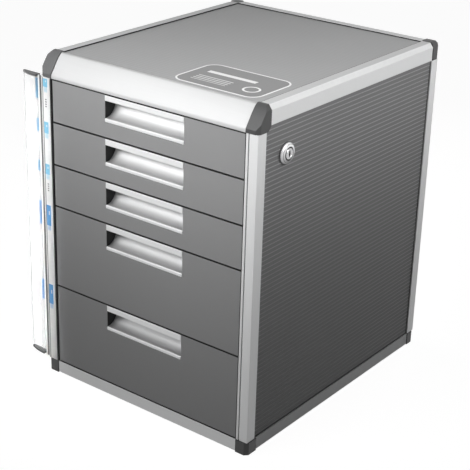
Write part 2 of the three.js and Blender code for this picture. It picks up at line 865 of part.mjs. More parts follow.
function lockPlug() {
  const face = bezelTop + plugProud;
  const whole = join(
    lockRod(plugRadius, barrelEnd, face, 20),
    lockRod(tailRadius, camInner, barrelEnd + overrun, 12),
  );
  const keyhole = block(
    [face - keyholeDepth, lockY - keyholeWidth / 2, lockZ - keyholeHeight / 2],
    [face + overrun, lockY + keyholeWidth / 2, lockZ + keyholeHeight / 2],
  );
  return cut(whole, keyhole);
}

function lockNut() {
  const outerEnd = panelInner - clearance;
  const nut = lockRod(nutRadius, outerEnd - nutThickness, outerEnd, 6);
  const bore = lockRod(barrelRadius + clearance, outerEnd - nutThickness - overrun, outerEnd + overrun, 24);
  return cut(nut, bore);
}

// Cam: a disc on the plug's tail with a pin that lifts the bar.
function lockCam() {
  const disc = lockRod(camRadius, camInner, camOuter, 20);
  const bore = lockRod(tailRadius + clearance, camInner - overrun, camOuter + overrun, 12);
  const pin = lockRod(camPinRadius, barInner + clearance, camInner + overrun, 10,
    lockY + camPinOffset, lockZ - camPinOffset);
  return join(cut(disc, bore), pin);
}

// Bar: an upright strip with a slot for the cam's pin and a finger for each drawer.
function lockBar() {
  const low = bottomPanelTop + clearance;
  const high = openingTop - lugDrop - clearance - barTravel;
  const strip = block([barInner, barFrontY, low], [barOuter, barFrontY + 2 * barHalfWidth, high]);
  const pinZ = lockZ - camPinOffset;
  const slotHalf = camPinRadius + camSlotPlay;
  const slot = block(
    [barInner - overrun, lockY + camPinOffset - slotHalf, pinZ - slotHalf],
    [barOuter + overrun, lockY + camPinOrbit + slotHalf, pinZ + slotHalf],
  );
  const fingers = levels.map((level) => block(
    [trayHalfWidth + fingerTipGap, barFrontY, level.fingerBottom],
    [barInner + barThickness / 2, barFrontY + fingerLength, level.fingerTop],
  ));
  return join(cut(strip, slot), ...fingers);
}

// Guide: a small channel that holds the bar against the runner.
function lockBarGuide(share) {
  const front = barFrontY - clearance;
  const back = barFrontY + 2 * barHalfWidth + clearance;
  const z = openingBottom + share * (openingTop - openingBottom);
  const shell = block(
    [runnerOuter + clearance, front - guideWall, z],
    [barOuter + clearance + guideWall, back + guideWall, z + guideHeight],
  );
  const channel = block(
    [runnerOuter, front, z - overrun],
    [barOuter + clearance, back, z + guideHeight + overrun],
  );
  return cut(shell, channel);
}

function lock() {
  const [lowerShare, upperShare] = guideShares;
  addPiece('lock_housing', lockHousing(), 'chrome');
  addPiece('lock_plug', lockPlug(), 'chrome');
  addPiece('lock_nut', lockNut(), 'steel');
  addPiece('lock_cam', lockCam(), 'steel');
  addPiece('lock_bar', lockBar(), 'steel');
  addPiece('lock_bar_lower_guide', lockBarGuide(lowerShare), 'inner');
  addPiece('lock_bar_upper_guide', lockBarGuide(upperShare), 'inner');
}

// Index wing: a curved clear lens with a bead along its root that turns in a socket on the post.
function circlePoint(radius, degrees) {
  const turn = THREE.MathUtils.degToRad(degrees);
  return [hingeX + radius * Math.cos(turn), hingeY + radius * Math.sin(turn)];
}

function arcPoints(radius, from, to, steps) {
  return Array.from({ length: steps + 1 }, (_, step) => circlePoint(radius, from + ((to - from) * step) / steps));
}

function hingeStrip() {
  const socket = [
    ...arcPoints(socketOuter, socketStart, socketEnd, socketSteps),
    ...arcPoints(socketInner, socketEnd, socketStart, socketSteps),
  ];
  const foot = rectangle(hingeX + socketInner + socketWall / 2, -frameHalf - clearance,
    hingeY - socketInner, hingeY + socketInner);
  return join(alongZ(socket, wingBottom, wingTop), alongZ(foot, wingBottom, wingTop));
}

// Front of the wing in (x, y): a flat arc, full at the root and thin at the tip.
function wingFront(inwards) {
  return Array.from({ length: wingSteps + 1 }, (_, step) => {
    const share = step / wingSteps;
    const x = hingeX - wingRoot - (wingReach - wingRoot) * share;
    const y = hingeY - wingFrontBulge + (wingFrontBulge + wingTipSet) * share ** 2 + inwards;
    return [x, y];
  });
}

function wingLens() {
  const low = wingBottom + wingCapThickness + clearance;
  const high = wingTop - wingCapThickness - clearance;
  const skin = alongZ([...wingFront(0), ...wingFront(wingSkin).reverse()], low, high);
  const bead = alongZ(arcPoints(beadRadius, 0, 360 - 360 / socketSteps, socketSteps - 1), low, high);
  const neck = alongZ(rectangle(hingeX - wingRoot - wingSkin, hingeX, hingeY - neckThickness / 2,
    hingeY + neckThickness / 2), low, high);
  const web = alongZ(rectangle(hingeX - wingRoot - wingSkin, hingeX - wingRoot,
    hingeY - wingFrontBulge + wingSkin / 2, hingeY + wingBackSet - cardThickness - clearance), low, high);
  return join(skin, bead, neck, web);
}

function wingCard() {
  const back = hingeY + wingBackSet;
  const low = wingBottom + wingCapThickness + clearance;
  const high = wingTop - wingCapThickness - clearance;
  const tip = hingeX - wingReach + wingSkin;
  return alongZ(rectangle(tip, hingeX - wingRoot, back - cardThickness, back), low, high);
}

function wingCap(low) {
  const back = hingeY + wingBackSet + wingCapLip;
  const front = wingFront(-wingCapLip);
  const tip = hingeX - wingReach;
  const root = hingeX - wingRoot;
  return alongZ([...front, [tip, back], [root, back]], low, low + wingCapThickness);
}

function indexWing() {
  addPiece('index_hinge_strip', hingeStrip(), 'aluminium');
  addPiece('index_wing', wingLens(), 'clear');
  addPiece('index_wing_card', wingCard(), 'card');
  addPiece('index_wing_bottom_cap', wingCap(wingBottom), 'corner');
  addPiece('index_wing_top_cap', wingCap(wingTop - wingCapThickness), 'corner');
  const stripOuter = -frameHalf + stripSideInset;
  const strip = block(
    [stripOuter, frontY - clearance - stripThickness, openingBottom + clearance],
    [stripOuter + stripWidth, frontY - clearance, openingTop - clearance],
  );
  addPiece('index_strip', strip, 'card');
}

frame();
panels();
backScrews();
drawers();
addPiece('right_runner', runner(true), 'inner');
addPiece('left_runner', mirrored(runner(false)), 'inner');
lock();
indexWing();

// The origin stands under the middle of the whole object, from the wing's tip to the lock's face
// and from the front corners to the screw heads at the back.
const leftmost = hingeX - wingReach;
const rightmost = bezelTop + plugProud;
const foremost = -cabinetDepth / 2;
const rearmost = rearY + clearance + screwHeadHeight;
cabinet.position.set(-(leftmost + rightmost) / 2, -(foremost + rearmost) / 2, 0);

export default cabinet;
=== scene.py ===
# Desktop file drawer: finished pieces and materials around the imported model.
# Metres. The front faces -Y, the right side +X, up is +Z. Sizes written with mm are millimetres.
import json
import math

import bmesh
import bpy
import numpy as np
from mathutils import Matrix, Vector


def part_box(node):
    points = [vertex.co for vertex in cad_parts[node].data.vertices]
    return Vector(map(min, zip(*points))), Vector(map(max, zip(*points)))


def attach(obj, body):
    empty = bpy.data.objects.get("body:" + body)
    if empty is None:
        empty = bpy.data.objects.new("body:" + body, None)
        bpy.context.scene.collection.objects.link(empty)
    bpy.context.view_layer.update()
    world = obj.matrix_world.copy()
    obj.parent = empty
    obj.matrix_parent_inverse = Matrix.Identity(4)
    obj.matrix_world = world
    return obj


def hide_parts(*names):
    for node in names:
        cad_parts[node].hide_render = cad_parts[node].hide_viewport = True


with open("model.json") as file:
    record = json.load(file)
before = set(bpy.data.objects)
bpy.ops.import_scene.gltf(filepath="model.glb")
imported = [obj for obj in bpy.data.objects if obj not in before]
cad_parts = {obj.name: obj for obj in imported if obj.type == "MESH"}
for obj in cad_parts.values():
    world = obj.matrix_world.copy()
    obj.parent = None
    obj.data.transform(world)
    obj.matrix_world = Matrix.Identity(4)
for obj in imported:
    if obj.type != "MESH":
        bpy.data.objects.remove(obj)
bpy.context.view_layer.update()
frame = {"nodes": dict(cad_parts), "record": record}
mm = 0.001
seat = 0.02 * mm  # how far a piece that is laid on stands off the face that carries it

bodyOfNode = {node: body for body, nodes in frame["record"]["behaviour"]["bodies"].items()
              for node in nodes}


def lowOf(node):
    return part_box(node)[0]


def highOf(node):
    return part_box(node)[1]


def middleOf(node):
    return [(low + high) / 2 for low, high in zip(*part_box(node))]


# Wires: an output socket of a node tree that takes part in sums as a number does
class Wire:
    def __init__(self, tree, socket=None):
        self.tree = tree
        self.socket = socket

    def node(self, kind, settings=None, sockets=None, out=0):  # any node: settings first, then sockets
        made = self.tree.nodes.new(kind)
        for key, value in (settings or {}).items():
            setattr(made, key, value)
        for key, value in (sockets or {}).items():
            if isinstance(value, Wire):
                self.tree.links.new(value.socket, made.inputs[key])
            else:
                made.inputs[key].default_value = value
        return Wire(self.tree, made.outputs[out])

    def maths(self, operation, *values):
        return self.node("ShaderNodeMath", {"operation": operation}, dict(enumerate(values)))

    def __add__(self, other):
        return self.maths("ADD", self, other)

    def __sub__(self, other):
        return self.maths("SUBTRACT", self, other)

    def __rsub__(self, other):
        return self.maths("SUBTRACT", other, self)

    def __mul__(self, other):
        return self.maths("MULTIPLY", self, other)

    def __truediv__(self, other):
        return self.maths("DIVIDE", self, other)

    __radd__ = __add__
    __rmul__ = __mul__

    def __abs__(self):
        return self.maths("ABSOLUTE", self)

    def above(self, edge, soft=0.02):  # 0 below the edge, 1 above it, over a short ramp
        return self.node("ShaderNodeMapRange", {"interpolation_type": "SMOOTHSTEP"},
                         {"Value": self, "From Min": edge - soft, "From Max": edge + soft})

    def between(self, low, high, soft=0.02):
        return self.above(low, soft) * (1 - self.above(high, soft))

    def clamped(self):
        return self.node("ShaderNodeClamp", None, {"Value": self})

    def atLeastNought(self):
        return self.maths("MAXIMUM", self, 0)

    def wave(self, pitch):  # up and down between 0 and the pitch, in straight lines
        return self.maths("PINGPONG", self, pitch)


def mixColours(share, first, second):
    return share.node("ShaderNodeMix", {"data_type": "RGBA"}, {0: share, 6: first, 7: second}, out=2)


def grey(level):
    return (level, level, level, 1)


def tinted(level, tints=(1, 1, 1)):  # a colour of one level, with a share of it in each channel
    return level.node("ShaderNodeCombineColor", None,
                      {"Red": level * tints[0], "Green": level * tints[1], "Blue": level * tints[2]})


def sway(pattern, share):  # a pattern from 0 to 1 as a change to either side of nothing
    return (pattern - 0.5) * share


def shaded(level, mask, tone):  # the level, and the tone where the mask is 1
    return level * (1 - mask) + mask * tone


def length(first, second):
    return first.maths("SQRT", first * first + second * second)


def noise(place, kind, stretch=(1, 1, 1)):  # a kind of noise is its scale, detail and roughness
    scale, detail, roughness = kind
    stretched = place.node("ShaderNodeVectorMath", {"operation": "MULTIPLY"}, {0: place, 1: stretch})
    return place.node("ShaderNodeTexNoise", None,
                      {"Vector": stretched, "Scale": scale, "Detail": detail, "Roughness": roughness})


def bump(height, relief):  # a relief is its depth in metres and its strength
    depth, strength = relief
    return height.node("ShaderNodeBump", None, {"Height": height, "Distance": depth, "Strength": strength})


def millimetres(place):  # the three Object coordinates as numbers in mm
    parts = [place.node("ShaderNodeSeparateXYZ", None, {"Vector": place}, out=axis) for axis in "XYZ"]
    return [part * 1000 for part in parts]


# Heights in mm: the frame's top, each drawer level's top, half a gap above its front, and the last's bottom
frameTop = highOf("right_top_rail").z / mm
halfGap = 0.7
levelTops = [highOf(f"drawer_{number}_front").z / mm + halfGap for number in range(1, 6)]
levelBottom = lowOf("drawer_5_front").z / mm - halfGap
# Painted shade in the gaps between the drawers and under the top rail: how far it reaches over the edges
# beside them, its softness and its dark tone
gapShadeLook = {"edge": 0.35, "topEdge": 1.1, "soft": 0.08, "tone": 0.012}


def gapShadeBands(z):  # painted shade: 1 in the gaps between drawers and just over the edges beside them
    reach = halfGap + gapShadeLook["edge"]
    bands = z.between(levelBottom - reach, levelBottom + reach, gapShadeLook["soft"])
    bands = bands + z.above(levelTops[0] - halfGap - gapShadeLook["topEdge"], gapShadeLook["soft"])
    for top in levelTops:
        bands = bands + z.between(top - reach, top + reach, gapShadeLook["soft"])
    return bands.clamped()


# Materials. Every one reads Object coordinates, so a pattern stays on its piece when the piece moves.
def startMaterial(name):
    material = bpy.data.materials.new(name)
    material.use_nodes = True
    material.node_tree.nodes.clear()
    return material, Wire(material.node_tree).node("ShaderNodeTexCoord", out="Object")


def closeTree(shader, kind):  # the last node of a material or of the world
    output = shader.tree.nodes.new(kind)
    shader.tree.links.new(shader.socket, output.inputs["Surface"])


def finishMaterial(material, colour, roughness, normal, others=None):
    sockets = {"Base Color": colour, "Roughness": roughness, "Normal": normal, **(others or {})}
    closeTree(normal.node("ShaderNodeBsdfPrincipled", None, sockets), "ShaderNodeOutputMaterial")
    return material


def finished(material, look, level, roughness, height, metal=0.0):  # a colour of one level, by the look
    return finishMaterial(material, tinted(level, look["tints"]), roughness, bump(height, look["relief"]),
                          {"Metallic": metal, "Specular IOR Level": look["specular"]})


# Brushed metal: a fine noise drawn along one axis over a large soft one
brushLook = {
    "cloud": (14, 2.0, 0.55), "brushRough": 0.12, "cloudRough": 0.06, "relief": (0.00001, 0.5),
    "tints": (0.995, 1, 1.005),
}
aluminiumLook = {
    **brushLook, "tone": 0.78, "mottle": 0.03, "metals": (0.26, 0.03, 0.26), "specular": 0.2,
    "roughness": 0.38, "brush": (900, 2.0, 0.5), "stretch": 0.02, "topShadeDrop": 0.27, "topSoft": 0.3,
}
# the nose: the frame's aluminium painted darker as shade where more light falls on it, with stronger
# painted shade on its top
noseShadedLook = {**aluminiumLook, "tone": 0.57, "metals": (0.06, 0.06, 0.06), "topShadeDrop": 0.45, "topSoft": 1.0}
steelLook = {
    **brushLook, "tone": 0.62, "mottle": 0.06, "metals": (0.85, 0.85, 0.85), "specular": 0.5,
    "roughness": 0.36, "brush": (500, 2.0, 0.5), "stretch": 0.3, "topShadeDrop": 0.0, "topSoft": 1.0,
}
handleLook = {
    **brushLook, "tone": 0.76, "mottle": 0.035, "metal": 0.45, "specular": 0.3, "roughness": 0.5,
    "brush": (1300, 2.0, 0.5), "stretch": 0.012, "lipDepth": 1.3, "lipSoft": 0.3, "deepAt": 9.0,
    "deepSoft": 6.0, "endReach": 11.0, "scoopShadeLow": 0.68, "scoopShadeDeep": 0.88, "endReflectionShade": 0.35,
}


def brushed(place, along, look):  # the brush's pattern, and the level and the roughness that it gives
    stretch = [1.0, 1.0, 1.0]
    stretch[along] = look["stretch"]
    brush = noise(place, look["brush"], stretch)
    cloud = noise(place, look["cloud"])
    level = look["tone"] + sway(cloud, look["mottle"]) + sway(brush, look["mottle"])
    roughness = look["roughness"] + sway(brush, look["brushRough"]) + sway(cloud, look["cloudRough"])
    return brush, level, roughness


def aluminiumMaterial(name, along, look):  # satin extrusion, with painted shade darkening the flat faces at the very top
    material, place = startMaterial(name)
    brush, level, roughness = brushed(place, along, look)
    _, _, z = millimetres(place)
    level = level * (1 - z.above(frameTop - look["topSoft"], look["topSoft"]) * look["topShadeDrop"])
    return finished(material, look, level, roughness, brush, look["metals"][along])


def handleMaterial(name, look):  # brushed sheet, with painted shade in the scoop and a painted dark reflection of the cheek at its shaded left end
    material, place = startMaterial(name)
    brush, level, roughness = brushed(place, 0, look)
    x, y, z = millimetres(place)
    low = lowOf("drawer_1_handle")
    # painted shade darkens the scoop, most just behind the lower lip, and a painted dark reflection darkens
    # its left end
    scoopShade = y.above(low.y / mm + look["lipDepth"], look["lipSoft"])
    deep = y.above(low.y / mm + look["deepAt"], look["deepSoft"])
    share = look["scoopShadeLow"] + deep * (look["scoopShadeDeep"] - look["scoopShadeLow"])
    end = 1 - x.above(low.x / mm + look["endReach"] / 2, look["endReach"] / 2)
    level = level * (1 - scoopShade + scoopShade * (share * (1 - end * look["endReflectionShade"])))
    level = shaded(level, gapShadeBands(z), gapShadeLook["tone"])
    return finished(material, look, level, roughness, brush, look["metal"])


hingeLook = {
    "tone": 0.90, "tints": (1, 1, 1), "mottle": 0.02, "specular": 0.4, "roughness": 0.4,
    "brushRough": 0.1, "brush": (900, 2.0, 0.5), "stretches": (1, 1, 0.02), "relief": (0.000005, 0.5),
    "line": (0.46, 0.66), "lineTone": 0.12,
}


def hingeMaterial(name, look):  # pale strip with a fine dark line down its face
    material, place = startMaterial(name)
    x, _, _ = millimetres(place)
    low, high = (corner.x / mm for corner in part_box("index_hinge_strip"))
    brush = noise(place, look["brush"], look["stretches"])
    line = ((x - low) / (high - low)).between(*look["line"])
    level = shaded(look["tone"] + sway(brush, look["mottle"]), line, look["lineTone"])
    roughness = look["roughness"] + sway(brush, look["brushRough"])
    return finished(material, look, level, roughness, brush)


# Moulded plastic. The corners are a little lighter towards the upper left, where more light falls on them.
plasticLook = {
    "grain": (900, 3.0, 0.6), "cloud": (22, 3.0, 0.55), "cloudShare": 0.2, "grainShare": 0.012,
    "grainRough": 0.16, "relief": (0.00004, 0.4), "specular": 0.4, "tints": (1, 1.005, 1.02),
    "leftLift": 0.0, "liftSoft": 40, "liftEdge": -60, "liftReach": 60,
}
mouldedLook = {
    **plasticLook, "tone": 0.050, "grain": (1500, 3.0, 0.6), "relief": (0.00003, 0.4), "roughness": 0.46,
    "leftLift": 0.9,
}
trayLook = {**plasticLook, "tone": 0.075, "roughness": 0.5}
innerLook = {**plasticLook, "tone": 0.035, "roughness": 0.58}
# dark plastic for the strips of painted shade
shadeStripLook = {**plasticLook, "tone": 0.012, "roughness": 0.7, "relief": (0.00003, 0.4)}


def mouldedMaterial(name, look):  # fine spark-eroded grain
    material, place = startMaterial(name)
    grain = noise(place, look["grain"])
    cloud = noise(place, look["cloud"])
    level = look["tone"] * (1 + sway(cloud, look["cloudShare"])) + sway(grain, look["grainShare"])
    x, _, z = millimetres(place)
    upper = z.above(frameTop / 2, look["liftSoft"])
    left = 1 - x.above(look["liftEdge"], look["liftReach"])
    level = level * (1 + upper * left * look["leftLift"])
    roughness = look["roughness"] + sway(grain, look["grainRough"])
    return finished(material, look, level, roughness, grain)


# The top panel's tone is painted light: its film is lighter than the side panels' as for the light that
# falls on the top
panelLook = {
    "tone": 0.168, "topLitTone": 0.39, "ribHighlightTone": 0.31, "grain": (700, 3.0, 0.55), "cloud": (9, 3.0, 0.55),
    "cloudShare": 0.14, "grainShare": 0.14, "grainRough": 0.14, "cloudRough": 0.08,
    "relief": (0.00002, 0.35), "roughness": 0.5, "specular": 0.25, "tints": (1, 1.003, 1.01),
    "linePitch": 5.1, "lineFromShare": 0.36, "lineSoft": 0.35, "lineHeight": 2,
}
sheetLook = {
    **panelLook, "tone": 0.12, "grain": (420, 3.0, 0.55), "relief": (0.00004, 0.35), "roughness": 0.55,
    "specular": 0.3,
}


def panelMaterial(name, tone, look, stretch=(1, 1, 1), lines=0.0):  # satin film, fine grain, faint lines
    material, place = startMaterial(name)
    grain = noise(place, look["grain"], stretch)
    cloud = noise(place, look["cloud"])
    level = tone * (1 + sway(cloud, look["cloudShare"])) + sway(grain, tone * look["grainShare"])
    height = grain
    if lines:
        _, y, _ = millimetres(place)
        pitch = look["linePitch"]
        ridge = y.wave(pitch / 2).above(pitch * look["lineFromShare"], look["lineSoft"])
        level = level * (1 + sway(ridge, lines))
        height = grain + ridge * look["lineHeight"]
    roughness = look["roughness"] + sway(grain, look["grainRough"]) + sway(cloud, look["cloudRough"])
    return finished(material, look, level, roughness, height)


frontLook = {
    "tone": 0.285, "coreShadeTone": 0.016, "filmDepth": 0.5, "filmSoft": 0.12, "sideEdge": 0.4,
    "sideSoft": 0.08, "grain": (1100, 2.0, 0.5), "cloud": (7, 3.0, 0.55), "fleckScale": 1600.0,
    "cloudShare": 0.1, "grainShare": 0.014, "fleckShare": 0.01, "relief": (0.000015, 0.3),
    "roughness": 0.38, "rough": 0.08, "metal": 0.05, "specular": 0.35, "tints": (1, 1.003, 1.01),
}


def frontMaterial(name, look):  # painted front with a fine metallic fleck, on a dark core and dark edges that are painted shade for the gaps and the handle's recess
    material, place = startMaterial(name)
    grain = noise(place, look["grain"])
    cloud = noise(place, look["cloud"])
    fleck = place.node("ShaderNodeTexVoronoi", {"feature": "F1"},
                       {"Vector": place, "Scale": look["fleckScale"]}, out="Distance")
    level = look["tone"] * (1 + sway(cloud, look["cloudShare"])) + sway(grain, look["grainShare"])
    level = level - sway(fleck, look["fleckShare"])
    x, y, z = millimetres(place)
    low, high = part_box("drawer_1_front")
    side = 1 - x.between(low.x / mm + look["sideEdge"], high.x / mm - look["sideEdge"], look["sideSoft"])
    # painted shade: the front turns dark behind its film, at its sides and in the gaps
    coreShade = y.above(low.y / mm + look["filmDepth"], look["filmSoft"]) + side + gapShadeBands(z)
    level = shaded(level, coreShade.clamped(), look["coreShadeTone"])
    roughness = look["roughness"] + sway(cloud, look["rough"]) + sway(grain, look["rough"])
    return finished(material, look, level, roughness, grain, look["metal"])


# Radii, depths and the keyway's half sizes in mm, from the lock's axis and faces
chromeLook = {
    "tone": 0.52, "toneLimit": 0.95, "reflectionDepth": 0.36, "reflectionSectors": 1.0, "turn": -0.09,
    "reflectionRadii": (7.0, 11.6, 0.4), "grain": (900, 2.0, 0.5), "grainShare": 0.04, "grainRough": 0.08,
    "relief": (0.000004, 0.4), "roughness": 0.18, "specular": 0.5, "tints": (1, 1, 1.01),
    "innerRing": (5.95, 7.3, 0.12), "outerRing": (9.7, 10.3, 0.12), "outerRingShare": 0.6,
    "ringShadeTone": 0.03, "footRadius": 9.0, "foot": 1.0, "footSoft": 0.1, "recessShadeTone": 0.006,
    "keyHalfWidth": 1.6, "keyHalfHeight": 3.35, "keySoft": 0.1, "keyDepth": 0.32, "keyDepthSoft": 0.06,
}


def chromeMaterial(name, look):  # turned chrome with painted reflections, lighter upwards, and painted dark rings, foot and keyway that stand in for shade and dark reflections
    material, place = startMaterial(name)
    _, lockY, lockZ = middleOf("lock_housing")
    x, y, z = millimetres(place)
    across = y - lockY / mm
    up = z - lockZ / mm
    radius = length(across, up)
    angle = across.maths("ARCTAN2", up, across)
    # painted reflection: lighter and darker sectors round the axis, lightest upwards
    reflectionSector = angle.maths("SINE", angle * look["reflectionSectors"] + look["turn"])
    grain = noise(place, look["grain"])
    level = look["tone"] + reflectionSector * look["reflectionDepth"] * radius.between(*look["reflectionRadii"])
    level = level + sway(grain, look["grainShare"])
    level = level.maths("MINIMUM", level, look["toneLimit"])
    # painted shade in the recess round the plug, and a painted dark reflection ring on the dome
    groove = radius.between(*look["outerRing"]) * look["outerRingShare"]
    groove = radius.between(*look["innerRing"]) + groove
    level = shaded(level, groove, look["ringShadeTone"])
    # painted shade: the bezel's foot by the panel and the keyway's hollow turn dark
    panelFace = highOf("right_panel").x / mm
    foot = radius.above(look["footRadius"]) * (1 - x.above(panelFace + look["foot"], look["footSoft"]))
    level = shaded(level, foot, look["recessShadeTone"])
    narrow = 1 - abs(across).above(look["keyHalfWidth"], look["keySoft"])
    short = 1 - abs(up).above(look["keyHalfHeight"], look["keySoft"])
    sunk = 1 - x.above(highOf("lock_plug").x / mm - look["keyDepth"], look["keyDepthSoft"])
    key = narrow * short * sunk
    level = shaded(level, key, look["recessShadeTone"])
    roughness = look["roughness"] + sway(grain, look["grainRough"])
    return finished(material, look, level, roughness, grain, 1 - (key + foot).clamped())


clearLook = {
    "tone": 0.93, "haze": (60, 2.0, 0.5), "stretch": (1, 1, 0.15), "hazeShare": 0.05, "alpha": 0.1,
    "hazeAlpha": 0.02, "edgeAlpha": 0.5, "edgeWidth": 0.8, "edgeSoft": 0.3, "roughness": 0.14,
    "hazeRough": 0.08, "relief": (0.000004, 0.3), "tints": (0.99, 1, 1.01),
}


def clearMaterial(name, look):  # clear moulded lens over the card: faintly milky, with a whiter edge
    material, place = startMaterial(name)
    haze = noise(place, look["haze"], look["stretch"])
    colour = tinted(look["tone"] + sway(haze, look["hazeShare"]), look["tints"])
    x, _, _ = millimetres(place)
    edge = 1 - x.above(lowOf("index_wing").x / mm + look["edgeWidth"], look["edgeSoft"])
    alpha = look["alpha"] + sway(haze, look["hazeAlpha"]) + edge * (look["edgeAlpha"] - look["alpha"])
    roughness = look["roughness"] + sway(haze, look["hazeRough"])
    return finishMaterial(material, colour, roughness, bump(haze, look["relief"]), {"Alpha": alpha})


# Printed cards: plain blocks, bars and pale fields, a row of them at the top of each drawer's level.
# Places across a card are shares of its width, and heights are in mm.
paperLook = {
    "paper": (0.86, 0.87, 0.87, 1), "dark": (0.05, 0.05, 0.06, 1), "warm": (0.93, 0.74, 0.62, 1),
    "fibre": (900, 3.0, 0.6), "relief": (0.00001, 0.3), "fibreRough": 0.1, "upperLevels": 3,
}
stripLook = {
    "tone": 0.82, "upper": (0.20, 0.52, 0.72, 1), "lower": (0.10, 0.33, 0.68, 1),
    "heights": [11, 15, 14, 27, 27], "roughness": 0.42, "block": (0.2, 0.74), "blockTop": 1.5,
    "blockSoft": 0.3, "tail": (0.28, 0.70), "tailLength": 6, "tailOverlap": 1, "tailSoft": 1.5,
    "tailDepth": 0.45, "notch": (0.46, 0.60), "notchShares": (0.5, 0.32), "notchSoft": 0.2,
    "notchDepth": 0.7, "bar": (0.42, 0.6), "barLow": 35, "barHigh": 24, "barPitch": 1.35, "barFrom": 0.65,
    "barSoft": 0.1, "barDepth": 0.85, "barLevels": (0, 2), "line": (0.10, 0.19), "lineTone": 0.10,
}
cardLook = {
    "tone": 0.9, "upper": (0.07, 0.24, 0.40, 1), "lower": (0.05, 0.20, 0.46, 1),
    "heights": [24, 16, 14, 30, 27], "drops": [6, 3, 3, 3, 3], "roughness": 0.5, "filmAlpha": 0.16,
    "fibreAlpha": 0.02, "denseFrom": 0.62, "denseSoft": 0.1, "denseAlpha": 0.3, "block": (0.70, 0.90),
    "blockSoft": 0.4, "blockAlpha": 0.7, "field": (0.3, 0.72, 0.06), "fieldShare": 1.4, "fieldTop": 4,
    "fieldSoft": 3, "fieldDepths": (0.12, 0.22), "fieldAlpha": 0.06, "rule": (0.12, 0.74),
    "rulePitch": 3.1, "ruleFrom": 2.85, "ruleSoft": 0.1, "ruleHeights": (150, 200, 4), "ruleDepth": 0.18,
}


def startPrinted(name, node, look):  # a material, its places across and up the card, and its plain paper
    material, place = startMaterial(name)
    x, _, z = millimetres(place)
    low, high = (corner.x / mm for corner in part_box(node))
    fibre = noise(place, paperLook["fibre"])
    colour = mixColours(fibre, grey(look["tone"]), paperLook["paper"])
    return material, (x - low) / (high - low), z, fibre, colour


def finishPrinted(material, colour, fibre, look, others=None):
    roughness = look["roughness"] + sway(fibre, paperLook["fibreRough"])
    return finishMaterial(material, colour, roughness, bump(fibre, paperLook["relief"]), others)


def levelTone(number, look):
    return look["upper"] if number < paperLook["upperLevels"] else look["lower"]


def stripMaterial(name, look):  # the strip on the post's face
    material, across, z, fibre, colour = startPrinted(name, "index_strip", look)
    for number, (top, height) in enumerate(zip(levelTops, look["heights"])):
        foot = top - height
        block = across.between(*look["block"]) * z.between(foot, top - look["blockTop"], look["blockSoft"])
        tail = z.between(foot - look["tailLength"], foot + look["tailOverlap"], look["tailSoft"])
        tail = across.between(*look["tail"]) * tail * look["tailDepth"]
        low, high = (top - height * share for share in look["notchShares"])
        notch = across.between(*look["notch"]) * z.between(low, high, look["notchSoft"])
        ink = block + tail - notch * look["notchDepth"]
        colour = mixColours(ink.clamped(), colour, levelTone(number, look))
    for number in look["barLevels"]:
        top = levelTops[number]
        beat = (z - top).wave(look["barPitch"]).above(look["barFrom"], look["barSoft"])
        reach = z.between(top - look["barLow"], top - look["barHigh"], look["barSoft"])
        bars = across.between(*look["bar"]) * reach * beat
        colour = mixColours(bars * look["barDepth"], colour, paperLook["dark"])
    colour = mixColours(across.between(*look["line"]), colour, grey(look["lineTone"]))
    return finishPrinted(material, colour, fibre, look)


def cardMaterial(name, look):  # the card in the wing: a frosted film, opaque where it is printed
    material, across, z, fibre, colour = startPrinted(name, "index_wing_card", look)
    alpha = look["filmAlpha"] + sway(fibre, look["fibreAlpha"])
    alpha = alpha + across.above(look["denseFrom"], look["denseSoft"]) * look["denseAlpha"]
    for number, (top, height, drop) in enumerate(zip(levelTops, look["heights"], look["drops"])):
        head = top - drop
        block = across.between(*look["block"]) * z.between(head - height, head, look["blockSoft"])
        field = z.between(head - height * look["fieldShare"], head - look["fieldTop"], look["fieldSoft"])
        field = across.between(*look["field"]) * field
        colour = mixColours(field * look["fieldDepths"][number % 2], colour, paperLook["warm"])
        colour = mixColours(block, colour, levelTone(number, look))
        alpha = alpha + block * look["blockAlpha"] + field * look["fieldAlpha"]
    beat = z.wave(look["rulePitch"]).above(look["ruleFrom"], look["ruleSoft"])
    rules = across.between(*look["rule"]) * beat * z.between(*look["ruleHeights"])
    colour = mixColours(rules * look["ruleDepth"], colour, paperLook["dark"])
    return finishPrinted(material, colour, fibre, look, {"Alpha": alpha.clamped()})


materials = {
    "aluminiumX": aluminiumMaterial("aluminiumDrawnAcross", 0, aluminiumLook),
    "nose": aluminiumMaterial("aluminiumNoseShaded", 0, noseShadedLook),
    "aluminiumY": aluminiumMaterial("aluminiumDrawnDeep", 1, aluminiumLook),
    "aluminiumZ": aluminiumMaterial("aluminiumDrawnUpright", 2, aluminiumLook),
    "moulded": mouldedMaterial("mouldedCorner", mouldedLook),
    "sidePanel": panelMaterial("sidePanelFilm", panelLook["tone"], panelLook, (1, 0.2, 1)),
    "topPanel": panelMaterial("topPanelLitFilm", panelLook["topLitTone"], panelLook, (0.25, 1, 1), 0.1),
    # the ribs' lighter tone is a painted highlight along them
    "ribs": panelMaterial("panelRibHighlight", panelLook["ribHighlightTone"], panelLook, (1, 0.2, 1)),
    "backSheet": panelMaterial("backSheet", sheetLook["tone"], sheetLook),
    "front": frontMaterial("drawerFrontPaint", frontLook),
    "handle": handleMaterial("brushedHandle", handleLook),
    "hinge": hingeMaterial("paleHinge", hingeLook),
    "tray": mouldedMaterial("trayPlastic", trayLook),
    "inner": mouldedMaterial("innerPlastic", innerLook),
    "shadeStrip": mouldedMaterial("paintedShadeStrip", shadeStripLook),
    "steel": aluminiumMaterial("platedSteel", 2, steelLook),
    "chrome": chromeMaterial("chromeLock", chromeLook),
    "clear": clearMaterial("clearLens", clearLook),
    "card": cardMaterial("printedCard", cardLook),
    "strip": stripMaterial("printedStrip", stripLook),
}
print("materials:", len(materials))


